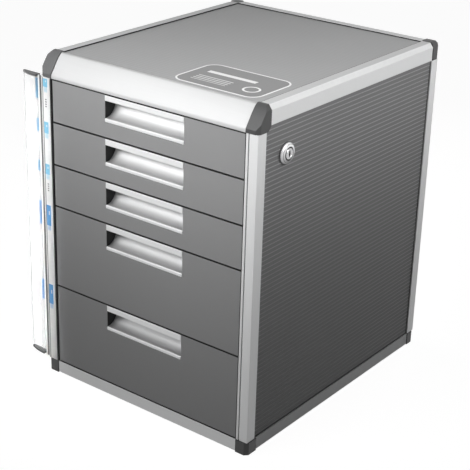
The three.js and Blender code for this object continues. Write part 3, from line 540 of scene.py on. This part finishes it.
# Surfaces worked out as whole arrays
smoothAngle = 35  # degrees up to which an edge is shaded smooth
weldDistance = 1e-7  # corners nearer to each other than this, in metres, become one
cutPast = 1 * mm  # how far a cutter stands out of the face that it cuts


def shadeSmooth(mesh, angle=smoothAngle):
    mesh.shade_smooth()
    mesh.set_sharp_from_angle(angle=math.radians(angle))


def linked(name, data):  # a new object of the scene
    made = bpy.data.objects.new(name, data)
    bpy.context.scene.collection.objects.link(made)
    return made


def addPiece(name, verts, faces):
    mesh = bpy.data.meshes.new(name)
    mesh.from_pydata(np.asarray(verts, float).tolist(), [], faces)
    mesh.update()
    shadeSmooth(mesh)
    return linked(name, mesh)


def dress(piece, material, slot, body, *nodes):  # finish, slot (not used), body and the nodes it stands for
    piece.data.materials.clear()
    piece.data.materials.append(materials[material])
    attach(piece, body)
    if nodes:
        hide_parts(*nodes)


def outward(piece, angle=smoothAngle):  # closes poles and seams and turns every face outwards
    work = bmesh.new()
    work.from_mesh(piece.data)
    bmesh.ops.remove_doubles(work, verts=work.verts, dist=weldDistance)
    bmesh.ops.dissolve_degenerate(work, edges=work.edges, dist=weldDistance)
    bmesh.ops.recalc_face_normals(work, faces=work.faces)
    work.to_mesh(piece.data)
    work.free()
    shadeSmooth(piece.data, angle)


# A closed outline carried along one axis: vertex (i, j) is outline point j at end i, with both ends closed.
def carried(name, outline, axis, start, end, angle=smoothAngle):
    outline = np.asarray(outline, float)
    count = len(outline)
    verts = np.zeros((2, count, 3))
    others = [other for other in range(3) if other != axis]
    verts[:, :, others] = outline
    verts[0, :, axis] = start
    verts[1, :, axis] = end
    here = np.arange(count)
    after = (here + 1) % count
    sides = np.stack([here, after, after + count, here + count], axis=1).tolist()
    ends = [here[::-1].tolist(), (here + count).tolist()]
    piece = addPiece(name, verts.reshape(-1, 3), sides + ends)
    outward(piece, angle)
    return piece


# A closed profile (radius, along) turned round an axis: the ring at turn t is radius * (cos t, sin t).
def turned(name, profile, centre, axis, steps):
    profile = np.asarray(profile, float)
    turns = np.linspace(0, 2 * math.pi, steps, endpoint=False)
    count = len(profile)
    verts = np.zeros((steps, count, 3))
    first, second = [other for other in range(3) if other != axis]
    verts[:, :, first] = np.cos(turns)[:, None] * profile[None, :, 0]
    verts[:, :, second] = np.sin(turns)[:, None] * profile[None, :, 0]
    verts[:, :, axis] = profile[None, :, 1]
    verts += np.asarray(centre, float)
    row = np.arange(steps)[:, None] * count
    nextRow = ((np.arange(steps) + 1) % steps)[:, None] * count
    here = np.arange(count)[None, :]
    after = (here + 1) % count
    faces = np.stack([row + here, row + after, nextRow + after, nextRow + here], axis=2).reshape(-1, 4)
    piece = addPiece(name, verts.reshape(-1, 3), faces.tolist())
    outward(piece)
    return piece


def repeatedFaces(sides, count):  # the six sides of one shape of eight corners, for each of many
    return (np.arange(count)[:, None, None] * 8 + np.array(sides)[None]).reshape(-1, 4).tolist()


# Many closed boxes in one mesh: corner (a, b, c) of a box is low or high along each axis.
def boxes(name, lows, highs):
    lows = np.asarray(lows, float)
    highs = np.asarray(highs, float)
    pick = np.array([[a, b, c] for a in (0, 1) for b in (0, 1) for c in (0, 1)], float)
    verts = lows[:, None] + (highs - lows)[:, None] * pick[None]
    sides = [[0, 1, 3, 2], [4, 6, 7, 5], [0, 4, 5, 1], [2, 3, 7, 6], [0, 2, 6, 4], [1, 5, 7, 3]]
    return addPiece(name, verts.reshape(-1, 3), repeatedFaces(sides, len(lows)))


def cutBy(piece, cutter):  # takes the cutter's shape out of the piece for good
    change = piece.modifiers.new("cut", "BOOLEAN")
    change.object = cutter
    change.solver = "EXACT"
    bpy.context.view_layer.update()
    ready = piece.evaluated_get(bpy.context.evaluated_depsgraph_get())
    mesh = bpy.data.meshes.new_from_object(ready)
    piece.modifiers.clear()
    piece.data = mesh
    bpy.data.objects.remove(cutter)
    shadeSmooth(mesh)


# Straight pieces: the model's own shape, welded, with its sharp edges broken. Angles are in degrees.
edging = {"weld": 0.002 * mm, "flatAngle": 0.5, "sharpAngle": 30}
kinds = {  # slot, and the broken edge's width and segments
    "frame": ("aluminium_frame", 0.3 * mm, 2),
    "corner": ("moulded_corner", 0.5 * mm, 3),
    "cap": ("moulded_corner", 0.35 * mm, 2),
    "panel": ("ribbed_panel", 0.2 * mm, 2),
    "back": ("back_sheet", 0.2 * mm, 2),
    "bottom": ("inner_plastic", 0.2 * mm, 2),
    "inner": ("inner_plastic", 0.3 * mm, 2),
    "front": ("drawer_front", 0.25 * mm, 2),
    "tray": ("tray_plastic", 0.4 * mm, 2),
    "steel": ("plated_steel", 0.2 * mm, 2),
    "card": ("index_card", 0.1 * mm, 2),
    "hinge": ("aluminium_frame", 0, 0),
    "lens": ("clear_wing", 0, 0),
}


def brokenEdges(piece, width, segments):
    bevel = piece.modifiers.new("brokenEdges", "BEVEL")
    bevel.width = width
    bevel.segments = segments
    bevel.limit_method = "ANGLE"
    bevel.angle_limit = math.radians(edging["sharpAngle"])
    bevel.harden_normals = True


def edged(material, kind, *nodes):
    slot, width, segments = kinds[kind]
    for node in nodes:
        mesh = frame["nodes"][node].data.copy()
        mesh.name = node + "_edged"
        work = bmesh.new()
        work.from_mesh(mesh)
        bmesh.ops.remove_doubles(work, verts=work.verts, dist=edging["weld"])
        bmesh.ops.dissolve_limit(work, angle_limit=math.radians(edging["flatAngle"]), verts=work.verts,
                                 edges=work.edges)
        work.to_mesh(mesh)
        work.free()
        piece = linked(node + "_edged", mesh)
        shadeSmooth(mesh, edging["sharpAngle"])
        if width:
            brokenEdges(piece, width, segments)
        dress(piece, material, slot, bodyOfNode[node], node)


def frameProfiles():
    for side in ("right", "left"):
        edged("aluminiumZ", "frame", f"{side}_front_post", f"{side}_rear_post")
        edged("aluminiumY", "frame", f"{side}_bottom_rail", f"{side}_top_rail")
        edged("moulded", "corner", f"{side}_front_top_cap", f"{side}_rear_top_cap",
              f"{side}_front_bottom_block", f"{side}_rear_bottom_block")
    edged("aluminiumX", "frame", "front_bottom_rail", "rear_bottom_rail", "rear_top_rail")
    print("frame profiles and corners placed")


# Rounded front of the top rail. The bend's last steps give way to the rounded back edge.
nose = {
    "lip": 4 * mm, "slantDepth": 15.5 * mm, "bendStartShare": 0.4, "lipRadius": 1.6 * mm,
    "backRadius": 1.4 * mm, "edge": 0.35 * mm, "bendSteps": 40, "stepsLeftOut": 8, "edgeSteps": 9,
    "smoothAngle": 20,
}


def bendOver(a, b, c, steps):  # the quadratic bend (1-t)^2 a + 2t(1-t) b + t^2 c
    t = np.linspace(0, 1, steps)[:, None]
    return (1 - t) ** 2 * a + 2 * t * (1 - t) * b + t ** 2 * c


# Outline in (y, z): an upright lip, a slant, a quadratic bend to the top, and a quarter circle at the back.
def noseRail():
    low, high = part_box("front_top_rail")
    depth, height = high.y - low.y, high.z - low.z
    edge, drop, share = nose["edge"], nose["backRadius"], nose["bendStartShare"]
    radius, steps = nose["lipRadius"], nose["edgeSteps"]
    lip = np.array([0, nose["lip"]])
    start = np.array([nose["slantDepth"] * share, nose["lip"] + (height - nose["lip"]) * share])
    corner = np.array([nose["slantDepth"], height])
    bend = bendOver(start, corner, np.array([depth, height]), nose["bendSteps"])
    slant = (start - lip) / np.linalg.norm(start - lip)
    lipBend = bendOver(lip - [0, radius], lip, lip + slant * radius, steps)
    t = np.linspace(0, math.pi / 2, steps)[:, None]
    back = np.hstack([depth - drop + drop * np.sin(t), height - drop + drop * np.cos(t)])
    outline = np.vstack([[[edge, 0], [0, edge]], lipBend, bend[1:-nose["stepsLeftOut"]], back,
                         [[depth, edge], [depth - edge, 0]]])
    outline += [low.y, low.z]
    piece = carried("front_top_rail_nose", outline, 0, low.x, high.x, nose["smoothAngle"])
    dress(piece, "nose", "aluminium_frame", "root", "front_top_rail")
    print("nose rail carried across")


# Panels and the ribs on the side panels
ribs = {
    "pitch": 5.1 * mm, "width": 1.15 * mm, "height": 0.25 * mm, "crownShare": 0.55, "lockGap": 10 * mm,
    "firstShare": 0.6, "frontGap": 0.5 * mm, "backGap": 1.1 * mm,
}


def panelPieces():
    edged("topPanel", "panel", "top_panel")
    edged("inner", "bottom", "bottom_panel")
    edged("backSheet", "back", "back_panel")
    for side in ("right", "left"):
        edged("sidePanel", "panel", f"{side}_panel")
        ribStrips(side)
    print("panels placed")


def sideOpening(side):  # which way a side panel faces, its outer face, and the frame's opening round it
    outwards, face = (1, highOf("right_panel").x) if side == "right" else (-1, lowOf("left_panel").x)
    deep = highOf(f"{side}_front_post").y, lowOf(f"{side}_rear_post").y
    return outwards, face, *deep, highOf(f"{side}_bottom_rail").z, lowOf(f"{side}_top_rail").z


# Each rib is a bar of trapezoid section, a pitch apart: foot width w, crown width w * share and height h.
def ribStrips(side):
    outwards, face, front, back, bottom, top = sideOpening(side)
    pitch = ribs["pitch"]
    levels = np.arange(bottom + pitch * ribs["firstShare"], top - ribs["width"], pitch)
    front, back = front + ribs["frontGap"], back - ribs["backGap"]
    spans = [(z, front, back) for z in levels]
    if side == "right":
        _, lockY, lockZ = middleOf("lock_housing")
        near = np.abs(levels - lockZ) < ribs["lockGap"]
        chord = np.sqrt(np.maximum(ribs["lockGap"] ** 2 - (levels - lockZ) ** 2, 0))
        spans = [(z, front, back) for z in levels[~near]]
        spans += [(z, front, lockY - c) for z, c in zip(levels[near], chord[near])]
        spans += [(z, lockY + c, back) for z, c in zip(levels[near], chord[near])]
    spans = np.array(spans)
    foot = ribs["width"] / 2
    crown = foot * ribs["crownShare"]
    section = np.array([[0, -foot], [ribs["height"], -crown], [ribs["height"], crown], [0, foot]])
    verts = np.zeros((len(spans), 2, 4, 3))
    verts[..., 0] = face + outwards * section[:, 0]
    verts[..., 2] = spans[:, 0][:, None, None] + section[:, 1]
    verts[..., 1] = spans[:, 1:][:, :, None]
    sides = [[0, 1, 5, 4], [1, 2, 6, 5], [2, 3, 7, 6], [3, 0, 4, 7], [3, 2, 1, 0], [4, 5, 6, 7]]
    piece = addPiece(f"{side}_panel_ribs", verts.reshape(-1, 3), repeatedFaces(sides, len(spans)))
    outward(piece)
    dress(piece, "ribs", "ribbed_panel", "root")


# Painted shade: thin dark strips in the corners where panels and drawers meet the frame, where there is
# only shade
shadeStrip = {
    "thickness": 0.35 * mm, "depth": 12 * mm, "frontInset": 0.25 * mm, "lipWidth": 1.3 * mm,
    "lipProud": 0.2 * mm, "lineInset": 3.0 * mm, "lineWidth": 0.8 * mm, "lineThickness": 0.1 * mm,
    "grooveDepth": 0.7 * mm, "edgeInset": 0.05 * mm, "topWidth": 0.7 * mm, "topInset": 0.25 * mm,
    "topFrontShare": 1 / 2, "topFrontHeight": 0.5 * mm, "sideWidth": 0.9 * mm, "sideProud": 0.45 * mm,
    "sideFrontShare": 1 / 3,
}


# Each strip is a box from one corner to the other, standing on the face that carries it.
def layStrips(name, strips):
    lows, highs = zip(*strips)
    dress(boxes(name, lows, highs), "shadeStrip", "inner_plastic", "root")


def openingShadeStrips():  # painted shade round the drawers, and three upright lines of it on the posts' front faces
    thick, line = shadeStrip["thickness"], shadeStrip["lineWidth"]
    x0, x1 = highOf("left_front_post").x, lowOf("right_front_post").x
    z0, z1 = highOf("front_bottom_rail").z + seat, lowOf("front_top_rail").z - seat
    face = lowOf("right_front_post").y
    y0, y1 = face + shadeStrip["frontInset"], face + shadeStrip["depth"]
    groove = x1 + shadeStrip["lineInset"]
    grooveFace = face + shadeStrip["grooveDepth"]
    outer = lowOf("left_front_post").x + shadeStrip["edgeInset"]
    outerFace = lowOf("left_front_post").y
    layStrips("drawer_opening_shade_strips", [
        ((x0 + seat, y0, z0), (x0 + thick, y1, z1)),
        ((x1 - thick, y0, z0), (x1 - seat, y1, z1)),
        ((x0 + thick, y0, z1 - thick), (x1 - thick, y1, z1)),
        ((x0 + thick, y0, z0), (x1 - thick, y1, z0 + thick)),
        ((x0 - shadeStrip["lipWidth"], face - shadeStrip["lipProud"], z0), (x0 + thick, face - seat, z1)),
        ((groove, grooveFace - shadeStrip["lineThickness"], z0), (groove + line, grooveFace - seat, z1)),
        ((outer, outerFace - shadeStrip["lipProud"], z0), (outer + line, outerFace - seat, z1)),
    ])


def topShadeStrips():
    wide = shadeStrip["topWidth"]
    x0, x1 = highOf("left_top_rail").x, lowOf("right_top_rail").x
    y0, y1 = highOf("front_top_rail").y + seat, lowOf("rear_top_rail").y
    z0, z1 = highOf("top_panel").z + seat, highOf("right_top_rail").z - shadeStrip["topInset"]
    layStrips("top_panel_shade_strips", [
        ((x0 + seat, y0, z0), (x0 + wide, y1, z1)),
        ((x1 - wide, y0, z0), (x1 - seat, y1, z1)),
        ((x0 + wide, y1 - wide, z0), (x1 - wide, y1 - seat, z1)),
        ((x0 + wide, y0, z0), (x1 - wide, y0 + wide * shadeStrip["topFrontShare"], z0 + shadeStrip["topFrontHeight"])),
    ])


def sideShadeStrips(side):
    wide = shadeStrip["sideWidth"]
    outwards, face, front, back, bottom, top = sideOpening(side)
    x0, x1 = sorted((face + outwards * seat, face + outwards * shadeStrip["sideProud"]))
    y0, y1 = front + seat, back - seat
    z0, z1 = bottom + seat, top - seat
    layStrips(f"{side}_panel_shade_strips", [
        ((x0, y0, z0), (x1, y1, z0 + wide)),
        ((x0, y1 - wide, z0 + wide), (x1, y1, z1)),
        ((x0, y0, z0 + wide), (x1, y0 + wide * shadeStrip["sideFrontShare"], z1)),
    ])


def shadeStrips():
    openingShadeStrips()
    topShadeStrips()
    sideShadeStrips("right")
    sideShadeStrips("left")
    print("seals placed")


# Plain label on the top: a film with a pale border, a bar, a few lines and a ring. The look's places are
# spans across and up the film in mm from its middle, each with its edges' softness.
label = {
    "width": 112 * mm, "depth": 74 * mm, "radius": 15 * mm, "thickness": 0.15 * mm, "sideGap": 12 * mm,
    "frontGap": 9 * mm, "cornerSteps": 12,
}
labelLook = {
    "filmTone": 0.17, "inkTone": 0.88, "border": 2.2, "soft": 0.15, "lines": (-40, 6, 0.1),
    "linesUp": (-22, -4, 0.1), "linePitch": 2.4, "lineFrom": 1.5, "lineDepth": 0.75,
    "bar": (-40, 24, 0.15), "barUp": (6, 13, 0.15), "ringAt": (34, -13), "ring": (7.5, 10, 0.15),
    "fibre": (700, 2.0, 0.55), "roughness": 0.3, "fibreRough": 0.1, "relief": (0.00001, 0.3),
}


def labelMaterial(middleX, middleY, look):
    material, place = startMaterial("plainLabel")
    x, y, _ = millimetres(place)
    across = x - middleX / mm
    up = y - middleY / mm
    halfX = label["width"] / mm / 2
    halfY = label["depth"] / mm / 2
    corner = label["radius"] / mm
    overX = (abs(across) - (halfX - corner)).atLeastNought()
    overY = (abs(up) - (halfY - corner)).atLeastNought()
    border = length(overX, overY).above(corner - look["border"], look["soft"])
    border = border + abs(across).above(halfX - look["border"], look["soft"])
    border = (border + abs(up).above(halfY - look["border"], look["soft"])).clamped()
    beat = up.wave(look["linePitch"]).above(look["lineFrom"], look["soft"])
    lines = across.between(*look["lines"]) * up.between(*look["linesUp"]) * beat * look["lineDepth"]
    bar = across.between(*look["bar"]) * up.between(*look["barUp"])
    ring = length(across - look["ringAt"][0], up - look["ringAt"][1]).between(*look["ring"])
    ink = (border + lines + bar + ring).clamped()
    fibre = noise(place, look["fibre"])
    colour = mixColours(ink, grey(look["filmTone"]), grey(look["inkTone"]))
    roughness = look["roughness"] + sway(fibre, look["fibreRough"])
    return finishMaterial(material, colour, roughness, bump(fibre, look["relief"]))


# Outline in (x, y): a rectangle with round corners, raised by the film's thickness.
def topLabel():
    radius = label["radius"]
    halfX = label["width"] / 2
    halfY = label["depth"] / 2
    middleX = lowOf("right_top_rail").x - label["sideGap"] - halfX
    middleY = highOf("front_top_rail").y + label["frontGap"] + halfY
    face = highOf("top_panel").z
    turns = np.linspace(0, math.pi / 2, label["cornerSteps"])
    centres = np.array([[1, 1], [-1, 1], [-1, -1], [1, -1]]) * [halfX - radius, halfY - radius]
    quarter = np.arange(4)[:, None] * math.pi / 2 + turns[None]
    arcs = np.stack([np.cos(quarter), np.sin(quarter)], axis=2) * radius + centres[:, None]
    outline = arcs.reshape(-1, 2) + [middleX, middleY]
    piece = carried("top_label_film", outline, 2, face + seat, face + label["thickness"])
    materials["label"] = labelMaterial(middleX, middleY, labelLook)
    dress(piece, "label", "index_card", "root")
    print("label laid on the top")


# Drawers
handle = {
    "topLip": 7.6 * mm, "bottomLip": 4.2 * mm, "sheet": 1.6 * mm, "scoop": 18 * mm, "steps": 40,
    "lipRadius": 0.6 * mm, "smoothAngle": 30,
}


# Outline in (y, z): two lips joined by a quarter ellipse, (a cos t, -b sin t), of one sheet's thickness.
def handlePull(number):
    node = f"drawer_{number}_handle"
    low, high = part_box(node)
    front, top, foot = low.y, high.z, low.z
    sheet, r = handle["sheet"], handle["lipRadius"]
    scoopTop = top - handle["topLip"]
    lipTop = foot + handle["bottomLip"]
    run = handle["scoop"] - sheet
    fall = (top - foot) - handle["topLip"] - handle["bottomLip"]
    t = np.linspace(0, math.pi / 2, handle["steps"])
    inner = np.stack([front + sheet + run * np.cos(t), scoopTop - fall * np.sin(t)], axis=1)
    t = t[::-1]
    outer = np.stack([front + sheet + (run + sheet) * np.cos(t),
                      scoopTop - (fall + sheet) * np.sin(t)], axis=1)
    outline = np.vstack([
        [[front, top - r], [front, scoopTop + r], [front + r, scoopTop], [front + sheet, scoopTop],
         [front + sheet, top - sheet], [front + handle["scoop"], top - sheet]],
        inner,
        [[front + r, lipTop], [front, lipTop - r], [front, foot + r], [front + r, foot],
         [front + sheet, foot]],
        outer,
        [[front + handle["scoop"] + sheet, top], [front + r, top]],
    ])
    piece = carried(f"drawer_{number}_pull", outline, 0, low.x, high.x, handle["smoothAngle"])
    dress(piece, "handle", "brushed_handle", f"drawer_{number}", node)


def drawers():
    for number in range(1, 6):
        edged("front", "front", f"drawer_{number}_front")
        edged("tray", "tray", f"drawer_{number}_tray")
        handlePull(number)
    print("five drawers placed")


# Lock
lock = {
    "barrelRadius": 9 * mm, "bore": 6.3 * mm, "boreEdge": 0.5 * mm, "panelGap": 0.3 * mm,
    "edge": 0.3 * mm, "baseHeight": 1.1 * mm, "rimShare": 0.66, "rimFlat": 0.4 * mm, "rimSlant": 0.6 * mm,
    "ringDepth": 0.35 * mm, "domeSteps": 18, "steps": 96,
}


# Profile in (radius, along): a straight foot, a dome (cos, sin) of the bezel's height, a rim and the bore.
def lockHousing():
    low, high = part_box("lock_housing")
    outer = (high.y - low.y) / 2
    bore, edge = lock["bore"], lock["edge"]
    base = highOf("right_panel").x + lock["panelGap"]
    rim = outer * lock["rimShare"]
    ring = high.x - lock["ringDepth"]
    t = np.linspace(0, math.pi / 2, lock["domeSteps"])
    dome = np.stack([rim + (outer - rim) * np.cos(t), base + lock["baseHeight"]
                     + (high.x - base - lock["baseHeight"]) * np.sin(t)], axis=1)
    profile = np.vstack([
        [[lock["barrelRadius"], low.x], [lock["barrelRadius"], base], [outer - edge, base],
         [outer, base + edge]],
        dome,
        [[rim - lock["rimFlat"], high.x], [rim - lock["rimSlant"], ring], [bore + lock["boreEdge"], ring],
         [bore, ring - edge], [bore, low.x]],
    ])
    _, middleY, middleZ = middleOf("lock_housing")
    piece = turned("lock_bezel_and_barrel", profile, (0, middleY, middleZ), 0, lock["steps"])
    dress(piece, "chrome", "chrome_lock", "root", "lock_housing")


# The keyway's corners: shares of its half width, of the ward's width beside it and of its half height
plug = {
    "radius": 6 * mm, "edge": 0.45 * mm, "tailRadius": 3 * mm, "tailEdge": 0.3 * mm,
    "dishShares": (0.72, 0.68), "dishDepth": 0.2 * mm, "steps": 72, "keyWidth": 2.1 * mm,
    "wardWidth": 0.45 * mm, "keyHeight": 6.6 * mm, "keyDepth": 4.5 * mm,
    "keyShares": [[-1, 0, -1], [1, 0, -1], [1, 0, -0.3], [1, 1, -0.15], [1, 1, 0.25], [1, 0, 0.4],
                  [1, 0, 1], [-1, 0, 1], [-1, 0, 0.15], [-1, -1, 0], [-1, -1, -0.35], [-1, 0, -0.5]],
}


# Profile in (radius, along): a thin tail, a shoulder, a body with a broken edge and a dished face.
def lockPlug():
    low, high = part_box("lock_plug")
    _, middleY, middleZ = middleOf("lock_housing")
    shoulder = lowOf("lock_housing").x
    tail, tailEdge = plug["tailRadius"], plug["tailEdge"]
    radius, edge = plug["radius"], plug["edge"]
    rim, dish = (radius * share for share in plug["dishShares"])
    dishFace = high.x - plug["dishDepth"]
    profile = [[0, low.x], [tail - tailEdge, low.x], [tail, low.x + tailEdge], [tail, shoulder],
               [radius, shoulder], [radius, high.x - edge], [radius - edge, high.x], [rim, high.x],
               [dish, dishFace], [0, dishFace]]
    piece = turned("lock_plug_face", profile, (0, middleY, middleZ), 0, plug["steps"])
    shares = np.array(plug["keyShares"])
    keyway = np.stack([shares[:, 0] * plug["keyWidth"] / 2 + shares[:, 1] * plug["wardWidth"],
                       shares[:, 2] * plug["keyHeight"] / 2], axis=1) + [middleY, middleZ]
    cutBy(piece, carried("keyway_cutter", keyway, 0, high.x - plug["keyDepth"], high.x + cutPast))
    dress(piece, "chrome", "chrome_lock", "lock_plug", "lock_plug")


def lockPieces():
    lockHousing()
    lockPlug()
    edged("steel", "steel", "lock_nut", "lock_cam", "lock_bar")
    edged("inner", "inner", "lock_bar_lower_guide", "lock_bar_upper_guide", "right_runner", "left_runner")
    print("lock and runners placed")


# Screws in the back
screw = {
    "headRadius": 3 * mm, "headHeight": 1.4 * mm, "headStart": 0.12, "headSteps": 10, "shank": 1.3 * mm,
    "tipShare": 0.5, "tipLength": 1 * mm, "crossWidth": 0.7 * mm, "crossReach": 1.9 * mm,
    "crossDepth": 0.8 * mm, "steps": 40,
}


# Profile in (radius, along): a shank and a head whose top is r = R cos t, h = H sin t, with a cross cut in.
def backScrews():
    wide, reach = screw["crossWidth"] / 2, screw["crossReach"]
    cross = np.array([[wide, reach], [-wide, reach], [-wide, wide], [-reach, wide], [-reach, -wide],
                      [-wide, -wide], [-wide, -reach], [wide, -reach], [wide, -wide], [reach, -wide],
                      [reach, wide], [wide, wide]])
    t = np.linspace(screw["headStart"], math.pi / 2, screw["headSteps"])
    for number in range(1, 5):
        node = f"back_screw_{number}"
        low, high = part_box(node)
        x, _, z = middleOf(node)
        face = high.y - screw["headHeight"]
        shank = screw["shank"]
        head = np.stack([screw["headRadius"] * np.cos(t), face + screw["headHeight"] * np.sin(t)], axis=1)
        profile = np.vstack([[[0, low.y], [shank * screw["tipShare"], low.y],
                              [shank, low.y + screw["tipLength"]], [shank, face],
                              [screw["headRadius"], face]], head])
        piece = turned(f"{node}_turned", profile, (x, 0, z), 1, screw["steps"])
        cutBy(piece, carried("cross_cutter", cross + [x, z], 1, high.y - screw["crossDepth"],
                             high.y + cutPast))
        dress(piece, "steel", "plated_steel", "root", node)
    print("screws placed")


def indexWing():
    edged("hinge", "hinge", "index_hinge_strip")
    edged("clear", "lens", "index_wing")
    edged("card", "card", "index_wing_card")
    edged("strip", "card", "index_strip")
    edged("moulded", "cap", "index_wing_top_cap", "index_wing_bottom_cap")
    print("index wing placed")


# Camera fitted to the photograph's straight edges
view = {
    "azimuth": 37.373, "elevation": 23.385, "roll": -1.64, "focalPixels": 1302.0, "imagePixels": 470.0,
    "principal": (226.085, 232.305), "target": (15.15 * mm, -0.45 * mm, 180 * mm),
    "targetInView": (16.808 * mm, 12.182 * mm, -1567.377 * mm), "sensor": 36,
}


def photoCamera():
    azimuth, elevation, roll = (math.radians(view[key]) for key in ("azimuth", "elevation", "roll"))
    back = Vector((math.sin(azimuth) * math.cos(elevation), -math.cos(azimuth) * math.cos(elevation),
                   math.sin(elevation)))
    right = Vector((math.cos(azimuth), math.sin(azimuth), 0))
    turn = Matrix.Rotation(roll, 3, "Z") @ Matrix((right, back.cross(right), back))
    place = Vector(view["target"]) - turn.transposed() @ Vector(view["targetInView"])
    data = bpy.data.cameras.new("photoCamera")
    data.sensor_width = view["sensor"]
    data.lens = view["focalPixels"] * data.sensor_width / view["imagePixels"]
    middle = view["imagePixels"] / 2
    data.shift_x = (middle - view["principal"][0]) / view["imagePixels"]
    data.shift_y = (view["principal"][1] - middle) / view["imagePixels"]
    camera = linked("photoCamera", data)
    camera.matrix_world = Matrix.Translation(place) @ turn.transposed().to_4x4()
    bpy.context.scene.camera = camera


# Lamps: each is at a place, aimed at a point, with a size, a power in watts and a spread in degrees
lamps = {
    "key": ((-0.12, -0.62, 0.66), (0.02, -0.16, 0.42), (0.6, 0.25), 0.91, 66),
    "sideNear": ((0.6, -0.05, 0.66), (0.15, 0.0, 0.4), (0.9, 0.2), 0.66, 62),
    "sideTight": ((0.42, -0.04, 0.54), (0.15, 0.0, 0.4), (0.6, 0.12), 0.07, 60),
    "frontLeft": ((-0.9, -0.9, 0.45), (-0.12, -0.17, 0.2), (0.4, 0.6), 0.23, 60),
    "indexStrip": ((-0.165, -0.9, 0.17), (-0.165, -0.17, 0.17), (0.04, 0.34), 0.085, 8),
    "top": ((0.0, 0.05, 1.5), (0.0, 0.05, 0.4), (1.0, 1.0), 0.15, 90),
    "left": ((-1.3, 0.12, 0.22), (-0.1, 0.12, 0.2), (0.5, 0.3), 0.9, 50),
    "back": ((-0.12, 1.3, 0.22), (-0.12, 0.15, 0.2), (0.5, 0.3), 0.8, 50),
}


def addLamps():
    for name, (place, aim, size, power, spread) in lamps.items():
        data = bpy.data.lights.new(name + "Lamp", "AREA")
        data.shape = "RECTANGLE"
        data.size, data.size_y = size
        data.energy = power
        data.spread = math.radians(spread)
        turn = (Vector(aim) - Vector(place)).to_track_quat("-Z", "Y").to_matrix().to_4x4()
        linked(name + "Lamp", data).matrix_world = Matrix.Translation(place) @ turn


def seenRay(start):  # 1 for what the camera, gloss and clear pieces see, 0 for light on surfaces
    rays = [start.node("ShaderNodeLightPath", out=kind) for kind in
            ("Is Camera Ray", "Is Glossy Ray", "Is Transmission Ray")]
    return (rays[0] + rays[1] + rays[2]).clamped()


sky = {"horizon": 0.012, "above": 0.02}


def skyLight():
    world = bpy.data.worlds.new("studio")
    bpy.context.scene.world = world
    world.use_nodes = True
    world.node_tree.nodes.clear()
    start = Wire(world.node_tree)
    direction = start.node("ShaderNodeTexCoord", out="Generated")
    z = start.node("ShaderNodeSeparateXYZ", None, {"Vector": direction}, out="Z")
    light = sky["horizon"] + z.atLeastNought() * sky["above"]
    seen = seenRay(start)
    strength = light * (1 - seen) + seen
    closeTree(start.node("ShaderNodeBackground", None, {"Color": grey(1), "Strength": strength}),
              "ShaderNodeOutputWorld")


floorLook = {
    "half": 8.0, "bounceTone": 0.12, "seenTone": 0.85, "cloud": (3, 2.0, 0.55), "cloudShare": 0.01,
    "glowShare": 0.8, "glow": 1.2,
}


def floor(look):
    verts = np.array([[-1, -1, 0], [1, -1, 0], [1, 1, 0], [-1, 1, 0]]) * look["half"]
    piece = addPiece("studioFloor", verts, [[0, 1, 2, 3]])
    material, place = startMaterial("studioFloor")
    seen = seenRay(place)
    tone = look["bounceTone"] + seen * (look["seenTone"] - look["bounceTone"])
    colour = tinted(tone + sway(noise(place, look["cloud"]), look["cloudShare"]))
    matt = place.node("ShaderNodeBsdfDiffuse", None, {"Color": colour})
    glow = place.node("ShaderNodeEmission", None, {"Color": grey(1), "Strength": look["glow"]})
    mix = place.node("ShaderNodeMixShader", None, {0: seen * look["glowShare"], 1: matt, 2: glow})
    closeTree(mix, "ShaderNodeOutputMaterial")
    piece.data.materials.append(material)


photoCamera()
frameProfiles()
noseRail()
panelPieces()
shadeStrips()
topLabel()
drawers()
lockPieces()
backScrews()
indexWing()
addLamps()
skyLight()
floor(floorLook)
bpy.context.scene.view_settings.view_transform = "Standard"
